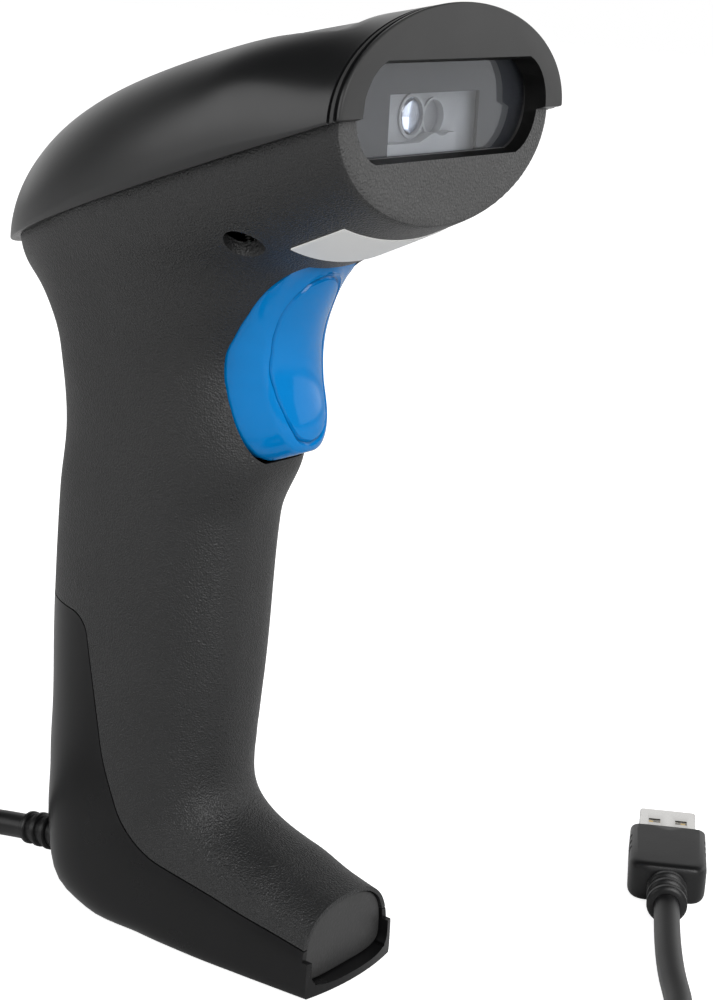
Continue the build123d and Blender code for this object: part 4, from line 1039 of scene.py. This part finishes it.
NODE_PAINTS = [
    (PAD_RUBBER, "sole_pad"),
    (PART_BLACK, "window_frame", "decoder_chip", "buzzer", "switch_body"),
    (WINDOW_CLEAR, "scan_window"),
    (CHASSIS_GREY, "engine_chassis"),
    (MIRROR, "engine_mirror"),
    (LAMP_RED, "engine_led"),
    (BOARD_GREEN, "engine_board", "main_board", "switch_board"),
    (IVORY, "cable_socket", "lead_connector", "switch_plunger", "usb_tongue"),
    (STEEL, "trigger_pin"),
    (JACKET_BLACK, "inner_lead"),
    (GOLD, "usb_contacts"),
]


def paint_nodes():
    for paint, *names in NODE_PAINTS:
        for name in names:
            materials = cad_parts[name].data.materials
            materials.clear()
            materials.append(paint)


# ---- lead


def coil_route():
    """Route points of the coil: inwards low, up half a turn, outwards high."""
    points = []
    total = COIL_TURNS_IN + COIL_CLIMB + COIL_TURNS_OUT
    count = round(total * COIL_POINTS)
    for i in range(count + 1):
        turn = total * i / count
        inward = min(turn, COIL_TURNS_IN)
        outward = max(0.0, turn - COIL_TURNS_IN - COIL_CLIMB)
        share = min(1.0, max(0.0, (turn - COIL_TURNS_IN) / COIL_CLIMB))
        radius = COIL_RADIUS - COIL_PITCH * (inward - outward)
        angle = math.pi + 2 * math.pi * turn
        points.append((COIL_CENTRE[0] + radius * math.cos(angle),
                       COIL_CENTRE[1] + radius * math.sin(angle),
                       COIL_BOTTOM + (COIL_TOP - COIL_BOTTOM) * share))
    return points


def lay_lead(on_lead):
    """The free lead as one smooth line: boot, floor, coil, plug."""
    route = [BOOT_TIP, *CORD_OUT, *coil_route(), *CORD_IN, PLUG_TAIL]
    curve = bpy.data.curves.new("lead", "CURVE")
    curve.dimensions = "3D"
    spline = curve.splines.new("NURBS")
    spline.points.add(len(route) - 1)
    for point, (x, y, z) in zip(spline.points, route):
        point.co = (x * MM, y * MM, z * MM, 1)
    spline.order_u = 3
    spline.use_endpoint_u = True
    spline.resolution_u = 8
    curve.bevel_depth = CORD_DIAMETER / 2 * MM
    curve.bevel_resolution = 6
    curve.use_fill_caps = True
    lead = new_object("lead", curve)
    curve.materials.append(JACKET_BLACK)
    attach(lead, "housing")
    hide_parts("cable_out", "cable_coil", "cable_in")


# ---- plug and boot

PLUG_PLACE = Matrix.Translation(PLUG_TAIL) @ spin(PLUG_HEADING - 90, "Z")
BOOT_TURN = Matrix.Translation(BOOT_PLACE) @ spin(-BOOT_DROOP, "X")
SHELL_START = PLUG_RELIEF_LENGTH + PLUG_BODY[1]
BOOT_RING_PITCH = 2.95
BOOT_SLEEVE = 3.2  # place where its rings begin
BOOT_CORE = [
    (-4.2, 5.0), (-4.0, 5.2), (-2.4, 5.2), (-2.2, 5.0), (-2.2, 3.45), (1.2, 3.45), (1.2, 4.0),
    (1.5, 4.2), (2.9, 4.15), (BOOT_SLEEVE, 3.9), (BOOT_SLEEVE, 3.2),
    (BOOT_LENGTH - 0.4, BOOT_END - 0.35), (BOOT_LENGTH, BOOT_END - 0.5),
]


def jacketed(piece, place, node):
    """Puts a rubber piece of the lead in its place."""
    return finish(moved(piece, place), "housing", "cable_jacket", JACKET_BLACK, node)


def flex_ring(name, radius, width):
    """One soft ring of a strain relief, open in its middle."""
    outside = [(0.0, radius - 0.9), (width * 0.12, radius - 0.3), (width * 0.3, radius),
               (width * 0.7, radius), (width * 0.88, radius - 0.3), (width, radius - 0.9)]
    return turned_form(name, outside, 56)


def ringed_relief(name, core, radius, width, count, first, step, taper=0.0):
    """A tapered core with a row of rings on it."""
    row = row_of(flex_ring("ring", radius, width), "ring_row", count, (0, first, 0), (0, step, 0),
                 JACKET_BLACK, taper=taper)
    return join(turned_form(name, core, 56), row)


def make_boot():
    """Strain relief in the heel: flange inside, neck in the wall, rings outside."""
    slim = (BOOT_ROOT - BOOT_END) / (BOOT_LENGTH - BOOT_SLEEVE)
    boot = ringed_relief("boot", BOOT_CORE, BOOT_ROOT, BOOT_RING_WIDTH, 4, 4.4, BOOT_RING_PITCH,
                         -slim * BOOT_RING_PITCH / BOOT_ROOT)
    return jacketed(boot, BOOT_TURN, "cable_boot")


def make_plug_relief():
    """Ringed tail of the plug."""
    core = [(0.0, 2.7), (0.2, 3.1), (PLUG_RELIEF_LENGTH + 0.5, 3.3)]
    relief = ringed_relief("plug_rings", core, *PLUG_RING, 3, 0.0, PLUG_RELIEF_LENGTH / 3)
    return jacketed(relief, PLUG_PLACE, "plug_relief")


def make_plug_grip():
    """Moulded grip: round shoulders at the tail, scalloped sides, a step at the shell."""
    half, tall = PLUG_BODY[0] / 2, PLUG_BODY[2] / 2
    start = PLUG_RELIEF_LENGTH + 0.25
    reach, side_round, top_round = PLUG_SHOULDER
    stations = [(PLUG_RELIEF_LENGTH, half - 3.4, tall - 1.3)]
    for a in sweep(math.pi / 2, 8):
        sooner = min(math.pi / 2, a * 1.6)
        stations.append((start + reach * (1 - math.cos(a)), half - side_round * (1 - math.sin(a)),
                         tall - top_round * (1 - math.sin(sooner))))
    for back, side, top in PLUG_NOSE:
        stations.append((SHELL_START - back, half - side, tall - top))
    grip = soft_block("plug_grip", stations, 7.0, 14)
    for side in (-1, 1):
        scallop = turned_form("scallop", [(-6.0, 1.0), (6.0, 1.0)], 40)
        first = (side * (half + 0.5), PLUG_RELIEF_LENGTH + SCALLOPS, 0)
        cut(grip, row_of(scallop, "scallop_row", 3, first, (0, SCALLOP_PITCH, 0), JACKET_BLACK,
                         (math.pi / 2, 0, 0)))
    for side in (-1, 1):
        step = [(y, *PLUG_STEP) for y in (SHELL_START - 3, SHELL_START + 1)]
        lift = Matrix.Translation((0, 0, side * (tall + 0.05)))
        cut(grip, moved(soft_block("step", step, 8.0), lift))
    room = [(y, *PLUG_ROOM) for y in (SHELL_START - SHELL_IN_GRIP, SHELL_START + 1)]
    cut(grip, soft_block("room", room, 16.0))
    return jacketed(grip, PLUG_PLACE, "plug_overmould")


def make_plug_shell():
    """Folded metal shell with rounded corners, two latch windows each side and a lead-in."""
    half, tall = SHELL_SIZE[0] / 2, SHELL_SIZE[1] / 2
    start, end = SHELL_START - SHELL_IN_GRIP, SHELL_START + SHELL_SHOWING
    outside = [(start, half, tall), (end - 0.35, half, tall),
               (end - 0.12, half - 0.05, tall - 0.05), (end, half - 0.16, tall - 0.16)]
    shell = soft_block("plug_shell", outside, 16.0, 14)
    inside = [(y, half - SHELL_WALL, tall - SHELL_WALL) for y in (start + 1, end + 1)]
    cut(shell, soft_block("inside", inside, 14.0, 14))
    middle, width, far, near = LATCH_WINDOW
    for x in (-middle, middle):
        low, high = (x - width / 2, end - far, -5), (x + width / 2, end - near, 5)
        cut(shell, block("latch_window", low, high))
    fold_top = -tall + SHELL_WALL + 0.05
    cut(shell, block("fold", (-0.06, start - 1, -3), (0.06, end + 1, fold_top)))
    moved(shell, PLUG_PLACE)
    return finish(shell, "housing", "steel", PLUG_STEEL, "usb_shell", angle=30)


def strap_loop(name, inset, half_width):
    """Flattened loop in the coil's radius and height, drawn out across it."""
    (out, up), (reach, rise) = STRAP_MIDDLE, STRAP_REACH
    flat = [squared(a, reach - inset, rise - inset, STRAP_CORNER) for a in around(96)]
    return prism(name, [(out + x, up + z) for x, z in flat], -half_width, half_width, "y")


def make_coil_strap():
    """Hook-and-loop strap drawn close round the turns, its free end lying on top."""
    strap = strap_loop("coil_strap", 0.0, STRAP_HALF_WIDTH)
    cut(strap, strap_loop("inside", STRAP_THICKNESS, STRAP_HALF_WIDTH + 1.5))
    end = moved(soft_block("end", STRAP_END, 5.0), Matrix.Translation(STRAP_END_PLACE))
    rib = soft_block("rib", STRAP_RIB, 3.0, 4)
    ribs = row_of(rib, "rib_row", 6, STRAP_RIB_PLACE, (STRAP_RIB_PITCH, 0, 0), STRAP_WEAVE)
    join(strap, end, ribs)
    moved(strap, Matrix.Translation((*COIL_CENTRE, 0)) @ spin(STRAP_TURN, "Z"))
    return finish(strap, "housing", "black_plastic", STRAP_WEAVE, "coil_tie")


make_boot()
lay_lead([make_coil_strap(), make_plug_relief(), make_plug_grip(), make_plug_shell()])
paint_nodes()


# ---- housing


def cover_point(u, a, width, height):
    """A place on the cover's section, at an angle: square-shouldered, with a shallow dish."""
    power = 2 + CROWN_BOX * smooth_step(0.0, 0.3, u) * (1 - smooth_step(0.55, 0.97, u))
    x, z = squared(a, width, height, 2 / power)
    inside = 1 - smooth_step(DISH_WIDTH - 0.03, DISH_WIDTH + 0.03, abs(x) / max(width, 1e-6))
    along = smooth_step(0.1, 0.125, u) * (1 - smooth_step(0.72, 0.8, u))
    return x, z - DISH_DEPTH * inside * along


def cover_rings(inset=0.0):
    """Sections of the cover from its rounded nose edge to the back of the head."""
    length, half = HEAD_LENGTH - inset, HEAD_HALF_WIDTH - inset
    places = rounded_edge(NOSE_ROUND, 5)
    places += [(back, 0.0) for back in NOSE_RINGS]
    places += [(u * length, 0.0) for u in head_shares(80) if u * length > 4.2]
    rings = []
    for back, shy in places:
        u, y = min(back / length, HEAD_END), NOSE_Y + back
        height = crown(u) + CROWN_RAISE * math.sin(math.pi * min(1.0, u / 0.85))
        height -= inset * (1 - u**10) + shy
        width = half * plan_share(u) - shy
        lip = min(LIP_ROUND, width * 0.3)
        corner = [(width - lip, 0.0), (width - lip * 0.3, lip * 0.3)]
        line = list(corner)
        for i, a in enumerate(sweep(math.pi, 120)):
            x, z = cover_point(u, a, width, height)
            line.append((x, max(lip * (1 + 0.01 * min(i, 120 - i)), z)))
        line += [(-x, z) for x, z in reversed(corner)]
        rings.append([(x, y, seam_z(y) + z) for x, z in line])
    return rings


def head_room(name, wall, side_gap, depth):
    """Plain room inside the head, behind its face."""
    length = HEAD_LENGTH - side_gap - wall
    rings = []
    for u in ROOM_SHARES:
        y = NOSE_Y + FACE_WALL + u * (length - FACE_WALL)
        half_width = (HEAD_HALF_WIDTH - side_gap - wall) * plan_share(u)
        ring = [(half_width * math.cos(a), y, seam_z(y) + depth(u) * math.sin(a))
                for a in sweep(math.pi, 16)]
        over = -1.0 if depth(u) > 0 else 1.0
        rings.append(ring + [(side * half_width, y, seam_z(y) + over) for side in (-1, 1)])
    return loft(name, rings)


def in_opening(place, normal):
    """Whether a face belongs to the walls of the window's opening."""
    rise = place.z - SEAM_HEIGHT - WINDOW_RISE + OPENING_DROP
    near = abs(place.x) < WINDOW_HALF_WIDTH + 0.4 and abs(rise) < WINDOW_HALF_HEIGHT + 0.4
    inward = place.x * normal.x + rise * normal.z < 0
    return near and inward and NOSE_Y + 0.02 < place.y < NOSE_Y + 8 and abs(normal.y) < 0.7


def make_cover():
    """Top cover: hollow, with two fine grooves round its lip and the window's opening."""
    cover = loft("cover", cover_rings())
    cut(cover, head_room("room", COVER_WALL, 0.0,
                         lambda u: (crown(u) - COVER_WALL) * math.sqrt(1 - u**6)))
    for start, end in RIM_GROOVES:
        groove = block("groove", (-60, NOSE_Y + start, 100), (60, NOSE_Y + end, 250))
        cut(cover, cut(groove, loft("core", cover_rings(RIM_GROOVE_DEPTH))))
    cut(cover, window_room("window_cut"))
    finish(cover, "housing", "cover_plastic", COVER_BLACK, "top_cover")
    near, far = NOSE_Y + RIM_GROOVES[0][1] - 0.05, NOSE_Y + RIM_GROOVES[1][0] + 0.05

    def in_face(place, normal):
        on_strip = near < place.y < far and abs(normal.y) < 0.5
        return place.y < NOSE_Y + 0.6 or (on_strip and place.z > seam_z(place.y) + 0.1)

    second_paint(cover, COVER_FACE, in_face)
    # painted shade: the opening's walls made near-black, partly their own dark plastic
    second_paint(cover, OPENING_BLACK_AND_SHADE, in_opening)


def smooth_where(piece, weights, rounds):
    """Evens out a mesh's points by their neighbours, as far as each weight says."""
    mesh = piece.data
    count = len(mesh.vertices)
    points = np.empty(count * 3)
    mesh.vertices.foreach_get("co", points)
    points = points.reshape(-1, 3)
    edges = np.empty(len(mesh.edges) * 2, int)
    mesh.edges.foreach_get("vertices", edges)
    a, b = edges.reshape(-1, 2).T
    degree = np.bincount(np.concatenate([a, b]), minlength=count)[:, None]
    strength = weights[:, None]
    for _ in range(rounds):
        total = np.zeros_like(points)
        for axis in range(3):
            total[:, axis] = np.bincount(a, points[b, axis], count)
            total[:, axis] += np.bincount(b, points[a, axis], count)
        points = points + strength * (total / degree - points)
    mesh.vertices.foreach_set("co", points.ravel())
    mesh.update()


def limb_distance(x, y, z):
    """Rough distance from a place beside the grip to its surface."""
    inner, outer, half_width, power, widest = [
        curve(float(np.clip(BEND_Z - z, LIMB_ROWS[0][0], 0))) for curve in LIMB_CURVES
    ]
    r = y - BEND_Y
    turn = outer - (outer - inner) * widest
    along = (turn - r) / (turn - inner) if r < turn else (r - turn) / (outer - turn)
    roundness = GRIP_POWER if r < turn else power
    size = (abs(along) ** roundness + abs(x / half_width) ** roundness) ** (1 / roundness)
    return (size - 1) * half_width


def belly_distance(x, y, z):
    """Rough distance from a place to the body's surface under the head."""
    length = HEAD_LENGTH - COVER_OVERHANG
    u = float(np.clip((y - NOSE_Y) / length, 0, 0.98))
    half = (HEAD_HALF_WIDTH - COVER_OVERHANG) * plan_share(u)
    drop = belly(u)
    size = math.hypot(x / half, (z - seam_z(y)) / drop)
    return (size - 1) * min(half, drop)


def blend_weights(body):
    """How far each point near the joint of grip and head is evened out."""
    weights = np.zeros(len(body.data.vertices))
    for i, vertex in enumerate(body.data.vertices):
        x, y, z = vertex.co / MM
        if BLEND_FLOOR <= z <= seam_z(y) + 1:
            apart = max(abs(limb_distance(x, y, z)), abs(belly_distance(x, y, z)))
            weights[i] = BLEND_STRENGTH * max(0.0, 1 - apart / BLEND_REACH)
    return weights


def make_body():
    """Head underside and grip in one hollow moulding, with its openings."""
    body = cut(belly_form("body"), limb_form("limb"), how="UNION")
    remesh = body.modifiers.new("even", "REMESH")
    remesh.mode = "VOXEL"
    remesh.voxel_size = BLEND_CELL * MM
    bake(body)
    weights = blend_weights(body)
    smooth_where(body, np.full(len(weights), 0.4), 2)
    smooth_where(body, weights, BLEND_ROUNDS)
    room = head_room("room", BODY_WALL, COVER_OVERHANG, lambda u: -(belly(u) - BODY_WALL))
    cut(body, above_seam("over"), room, limb_hollow(), base_region("base_room", 0.0),
        block("toe", (-30, -80, -5), (30, TOE_Y, 30)), toe_rebate("rebate"))
    cut(body, cut(trigger_side("opening"), trigger_front("front"), how="INTERSECT"))
    cut(body, window_room("window_cut"), screw_tunnel("tunnel", -1), screw_tunnel("tunnel", 1))
    nose_edge = NOSE_Y + FACE_SETBACK + 0.4
    split_at(body, nose_edge)
    finish(body, "housing", "body_plastic", BODY_GRAIN, "body_shell")
    second_paint(body, NOSE_GRAIN, lambda place, normal: place.y < nose_edge and normal.y < -0.1)
    # painted shade: the opening's walls made near-black, partly their own dark plastic
    second_paint(body, OPENING_BLACK_AND_SHADE, in_opening)


def screw_tunnel(name, side):
    """Bore up to the head of a screw that holds the cover."""
    ring = circle(TUNNEL_BORE, 32, (side * TUNNEL_X, TUNNEL_BACK))
    return loft(name, [in_head([(x, y, z) for x, y in ring]) for z in (-40.0, SCREW_SEAT)])


def toe_ring(inset, y):
    """Section of the foot's end, less a wall."""
    low, high = TOE_SECTIONS
    share = (y - low[0]) / (high[0] - low[0])
    top = low[1] + share * (high[1] - low[1])
    half_width = low[2] + share * (high[2] - low[2])
    return section_ring(
        lambda x, r: (x, y, BEND_Z - r), BEND_Z - top + inset, BEND_Z - SOLE_HEIGHT - inset,
        half_width - inset, TOE_POWER, BEND_SECTIONS[-1][5], 20,
    )


def toe_rebate(name):
    """Room for the toe plate in the foot's end."""
    ring = toe_ring(RIM_WALL, TOE_Y + TOE_SEAT)
    return loft(name, [ring, [(x, y - 8, z) for x, y, z in ring]])


def trigger_side(name):
    """Side view of the room that the trigger passes through."""
    radius = TRIGGER_BOTTOM_RADIUS + TRIGGER_CLEARANCE
    outline = []
    for degrees in range(TRIGGER_ARC[0], TRIGGER_ARC[1] + 1, 2):
        a = math.radians(degrees)
        outline.append((PIN_Y + radius * math.cos(a), PIN_Z + radius * math.sin(a)))
    outline += [(PIN_Y + y, PIN_Z + z) for y, z in OPENING_TOP]
    corner = PIN_Y + OPENING_CORNER[0]
    outline.append((corner, seam_z(corner) - OPENING_CORNER[1]))
    return prism(name, outline, -12.5, 12.5)


def polar_curve(rows):
    """Distance from the trigger's middle by angle, right half, and depth if given."""
    spread = []
    for height, half_width, *depth in rows:
        rise = height - TRIGGER_MIDDLE
        spread.append((math.atan2(rise, half_width), math.hypot(half_width, rise), *depth))
    spread.sort()
    angles = [row[0] for row in spread]
    return [rising_curve(angles, [row[k] for row in spread]) for k in range(1, len(spread[0]))]


EDGE_REACH, EDGE_DEPTH = polar_curve(TRIGGER_EDGE)
PAD_REACH = polar_curve(PAD_EDGE)[0]


def folded(angle):
    """The angle's mirror image in the right half."""
    return math.asin(max(-1.0, min(1.0, math.sin(angle))))


def polar_place(angle, reach):
    """A place in the trigger's front view, from its middle."""
    return reach * math.cos(angle), TRIGGER_MIDDLE + reach * math.sin(angle)


def edge_place(angle, grow=0.0):
    return polar_place(angle, EDGE_REACH(folded(angle)) + grow)


def trigger_front(name):
    """Front view of the opening: the trigger's outline with room all round."""
    outline = []
    for x, z in [edge_place(a, TRIGGER_CLEARANCE) for a in around(120)]:
        outline.append((x, z - TRIGGER_SWEEP * min(1.0, max(0.0, (PIN_Z - z) / 20))))
    return prism(name, outline, -80, 20, "y")


def make_base():
    """Lower rear of the grip and the foot's tray, with the tray's bowed lip."""
    base = limb_form("base")
    cut(base, base_region("base_room", PART_GAP), how="INTERSECT")
    cut(base, limb_hollow())
    lip_y = TOE_Y - LIP_REACH
    front = block("front", (-30, lip_y - 20, -5), (30, TOE_Y + 3, 30))
    bow = circle(LIP_BOW_RADIUS, 256, (0.0, lip_y + LIP_BOW_RADIUS))
    cut(front, prism("bow", bow, -18, 42, "z"))
    cut(base, front, block("lip", (-30, lip_y - 20, LIP_TOP), (30, TOE_Y, 30)),
        toe_rebate("rebate"), block("pad_room", *PAD_ROOM))
    finish(base, "housing", "base_plastic", BASE_BLACK, "base_shell")


def make_toe_plate():
    """End plate of the foot, its rim softened, a hair behind the tray's lip."""
    rings = []
    for step, shy in TOE_RIM:
        ring = toe_ring(RIM_WALL + shy, TOE_Y + TOE_SEAT)
        rings.append([(x, y + step, z) for x, y, z in ring])
    finish(loft("toe_plate", rings), "housing", "base_plastic", TOE_GRAIN, "toe_end_plate")


def make_label():
    """Blank label wrapped on the underside of the nose."""
    sheet = belly_form("label", inset=-0.22)
    width, length = LABEL_SIZE
    area = block("area", (-width / 2, LABEL_BACK - length / 2, -60),
                 (width / 2, LABEL_BACK + length / 2, -2))
    cut(sheet, moved(area, HEAD_PLACE), how="INTERSECT")
    cut(sheet, belly_form("core", inset=0.06), limb_form("grip", inset=-0.6))
    finish(sheet, "housing", "label_paper", LABEL_WHITE, "blank_sticker")


make_cover()
make_body()
make_base()
make_toe_plate()
make_label()


# ---- trigger

FINGER_CURVE = rising_curve(*zip(*reversed(FINGER_LINE)))


def smooth_finger(z):
    """Finger line, its joints evened out."""
    return sum(FINGER_CURVE(z + step) for step in (-1.6, -0.8, 0.0, 0.8, 1.6)) / 5


def pad_depth(x, z):
    """Surface of the finger pad, crowned across."""
    return smooth_finger(z) + PAD_CROWN * (x / PAD_HALF_WIDTH) ** 2


def kept_in_sweep(x, y, z):
    """Keeps a low place inside the circle that the trigger's end turns in."""
    share = (TRIGGER_BOTTOM_RADIUS - 0.1) / math.hypot(y - PIN_Y, z - PIN_Z)
    if z < PIN_Z - 20 and share < 1:
        return x, PIN_Y + (y - PIN_Y) * share, PIN_Z + (z - PIN_Z) * share
    return x, y, z


def pad_ring(angles, share, deeper):
    """Ring on the finger pad or in its crease."""
    flat = [polar_place(a, PAD_REACH(folded(a)) * share) for a in angles]
    return [(x, pad_depth(x, z) + deeper, z) for x, z in flat]


def flank_ring(angles, share, fall):
    """Ring on the flank, between the crease and the trigger's edge."""
    ring = []
    for a in angles:
        low, high = PAD_REACH(folded(a)) * FLANK_START, EDGE_REACH(folded(a))
        x, z = polar_place(a, low + (high - low) * share)
        near = pad_depth(*polar_place(a, low))
        ring.append((x, near + (EDGE_DEPTH(folded(a)) - near) * fall, z))
    return ring


def trigger_shell():
    """Crowned finger pad in a crease, a falling flank, then straight back to its rim."""
    angles = around(112)
    rings = [pad_ring(angles, *place) for place in PAD_RINGS]
    rings += [flank_ring(angles, *place) for place in FLANK_FALL]
    edge = rings[-1]
    rings += [[(x, y + (TRIGGER_REAR - y) * back, z) for x, y, z in edge] for back in (0.35, 1.0)]
    inner = [edge_place(a, -TRIGGER_WALL) for a in angles]
    rings.append([(x, TRIGGER_REAR, z) for x, z in inner])
    rings.append([(x, EDGE_DEPTH(folded(a)) + 2.6, z) for a, (x, z) in zip(angles, inner)])
    for share in (0.6, 0.02):
        flat = [(x * share, TRIGGER_MIDDLE + (z - TRIGGER_MIDDLE) * share) for x, z in inner]
        rings.append([(x, pad_depth(x, z) + PAD_WALL, z) for x, z in flat])
    return loft("trigger_shell", [[kept_in_sweep(*place) for place in ring] for ring in rings])


def across_rod(name, radius, half_width, y, z):
    """A round rod along X."""
    return prism(name, circle(radius, 48, (y, z)), -half_width, half_width)


def make_trigger():
    """Finger shell with its hub, the arm that presses the switch and the spring's peg."""
    trigger = trigger_shell()
    nose_y = PIN_Y + ARM_REACH
    hub = across_rod("hub", HUB_RADIUS, HUB_HALF_WIDTH, PIN_Y, PIN_Z)
    arm = block("arm", (-ARM_HALF_WIDTH, ARM_FRONT, SWITCH_Z - ARM_TIP),
                (ARM_HALF_WIDTH, nose_y, SWITCH_Z + ARM_TIP))
    tip = across_rod("tip", ARM_TIP, ARM_HALF_WIDTH, nose_y, SWITCH_Z)
    peg = moved(turned_form("peg", PEG), Matrix.Translation((0, 0, SPRING_Z)))
    cut(trigger, hub, arm, tip, peg, how="UNION")
    cut(trigger, across_rod("pin_bore", PIN_BORE, 20, PIN_Y, PIN_Z))
    finish(trigger, "trigger", "trigger_plastic", TRIGGER_BLUE, "trigger", angle=40)


def make_spring():
    """Wire spring from the trigger's peg to the switch board."""
    steps = 24
    count = SPRING_TURNS * steps
    length = SPRING_REAR - SPRING_FRONT - 2 * SPRING_WIRE
    section = circle(SPRING_WIRE, 10, (SPRING_RADIUS, 0.0))
    rings = []
    for i in range(count + 1):
        turn = 2 * math.pi * i / steps
        y = SPRING_FRONT + SPRING_WIRE + length * i / count
        rings.append([(out * math.cos(turn), y + along, SPRING_Z + out * math.sin(turn))
                      for out, along in section])
    spring = loft("spring", rings)
    finish(spring, "housing", "steel", STEEL, "trigger_spring", angle=60)
    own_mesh(spring)


make_trigger()
make_spring()


# ---- window


def make_printed_border():
    """Printed border on the back of the glass, with a clear rectangle."""
    back = NOSE_Y + GLASS_RECESS + GLASS_THICKNESS + 0.02
    border = window_prism("printed_border", 0.9, back, back + 0.08)
    lift = SEAM_HEIGHT + WINDOW_RISE - CLEAR_DROP
    low = (CLEAR_CENTRE_X - CLEAR_HALF_WIDTH, back - 1, lift - CLEAR_HALF_HEIGHT)
    high = (CLEAR_CENTRE_X + CLEAR_HALF_WIDTH, back + 1, lift + CLEAR_HALF_HEIGHT)
    cut(border, block("clear_part", low, high))
    finish(border, "housing", "frame_plastic", FRAME_PRINT)


def face_bore(name, place, radius, front, back):
    """A round bore into the window's depth, at (x, z)."""
    return prism(name, circle(radius, 64, place), front, back, "y")


def dome(name, tip, height, radius, back, steps):
    """Round glass along Y, domed from its tip, with a flat back."""
    profile = [(tip + height * (1 - math.cos(a)), max(0.05, radius * math.sin(a)))
               for a in sweep(math.pi / 2, steps)]
    return turned_form(name, profile + [(back, radius)], 64)


def make_engine_face():
    """Light hood behind the glass: lens port, scooped recess and a floor, on two arms."""
    front, back = HOOD_Y, HOOD_Y + FACE_THICKNESS
    face = block("engine_face", (FACE_LOW[0], front, FACE_LOW[1]),
                 (FACE_HIGH[0], back, FACE_HIGH[1]))
    floor = prism("floor", LEDGE, front - 2.3, front + 0.5, "y")
    rims = [face_bore("rim", place, radius, front - FACE_RIM, back) for place, radius in FACE_RIMS]
    arms = [block("arm", (x - 1.0, back - 0.2, 153.4), (x + 1.0, back + 4.4, 160.0))
            for x in (-FACE_ARM_X, FACE_ARM_X)]
    cut(face, floor, *rims, *arms, how="UNION")
    cut(face, face_bore("port", PORT_PLACE, PORT_RADIUS, front - 3, back + 3),
        face_bore("recess", RECESS_PLACE, RECESS_RADIUS, front - 3, back - 0.3))
    finish(face, "housing", "chassis_plastic", CHASSIS_GREY, angle=30)
    glass = dome("port_lens", front - 0.9, 1.5, PORT_GLASS, back, 15)
    moved(glass, Matrix.Translation((PORT_PLACE[0], 0, PORT_PLACE[1])))
    finish(glass, "housing", "lens_glass", LENS_GLASS, angle=50)
    seat = face_bore("lens_seat", PORT_PLACE, PORT_GLASS, back + 0.02, back + 1.0)
    finish(seat, "housing", "black_plastic", PART_GREY, angle=30)


def make_lens():
    """Domed glass in a black barrel with a stepped mouth."""
    back = ENGINE_FRONT + ENGINE_POCKET
    mouth = back - LENS_DEPTH
    place = HEAD_PLACE @ Matrix.Translation((LENS_X, 0, LENS_Z))
    outside = [(mouth, 3.5), (mouth + 0.15, 3.75), (mouth + 0.4, BARREL_RADIUS),
               (back, BARREL_RADIUS)]
    bore = [(mouth - 1, 3.4), (mouth + 0.2, 3.2), (mouth + 2.0, 2.9), (mouth + 2.15, 2.9)]
    barrel = cut(turned_form("lens_tube", outside, 64), turned_form("mouth", bore, 64))
    finish(moved(barrel, place), "housing", "black_plastic", PART_BLACK, "lens_barrel", angle=30)
    glass = moved(dome("lens_glass", mouth + 0.5, 1.2, LENS_RADIUS, mouth + 2.1, 13), place)
    finish(glass, "housing", "lens_glass", LENS_GLASS, "engine_lens", angle=50)


make_printed_border()
make_engine_face()
make_lens()


# ---- screws


def slotted_screw(name, length):
    """Cross-slotted pan head on +Z side of the seat, threaded shank below it."""
    crest, root = SCREW_SHANK, SCREW_SHANK - THREAD_DEPTH
    profile = [(-length, 0.5), (-length + 0.6, crest)]
    for i in range(int((length - 1.2) / THREAD_PITCH)):
        low = -length + 0.6 + i * THREAD_PITCH
        profile += [(low + 0.15, crest), (low + 0.3, root), (low + 0.45, crest)]
    profile += [(0.0, crest), (0.0, SCREW_HEAD), (0.7, SCREW_HEAD), (1.2, SCREW_HEAD * 0.86),
                (1.45, SCREW_HEAD * 0.6), (1.5, SCREW_HEAD * 0.3)]
    form = turned_form(name, profile, 32)
    for half_x, half_z in ((1.6, 0.3), (0.3, 1.6)):
        cut(form, block("slot", (-half_x, 0.75, -half_z), (half_x, 3, half_z)))
    return form


def screw_pair(name, length, side, back, height, turn):
    """Two screws across the head, at a depth and height in its frame."""
    first, last = in_head([(-side, back, height), (side, back, height)])
    step = Vector(last) - Vector(first)
    return row_of(slotted_screw("screw", length), name, 2, first, step, ZINC,
                  (turn - math.radians(HEAD_PITCH), 0, 0))


def make_screws():
    """Screws under the head, on the main board and under the sole pad."""
    down, up = -math.pi / 2, math.pi / 2
    cover = screw_pair("cover_screw_row", COVER_SCREW, TUNNEL_X, TUNNEL_BACK, SCREW_SEAT, down)
    finish(cover, "housing", "zinc_screw", ZINC, "cover_screws")
    rows = [screw_pair("board_screw_row", BOARD_SCREW, POST_X, back, BOARD_TOP, up)
            for back in (POST_FRONT, POST_REAR)]
    finish(join(*rows), "housing", "zinc_screw", ZINC, "board_screws")
    base = row_of(slotted_screw("screw", BASE_SCREW), "base_screw_row", 2, BASE_SCREW_PLACE,
                  (BASE_SCREW_SPACING, 0, 0), ZINC, (down, 0, 0))
    finish(base, "housing", "zinc_screw", ZINC, "base_screws")


make_screws()
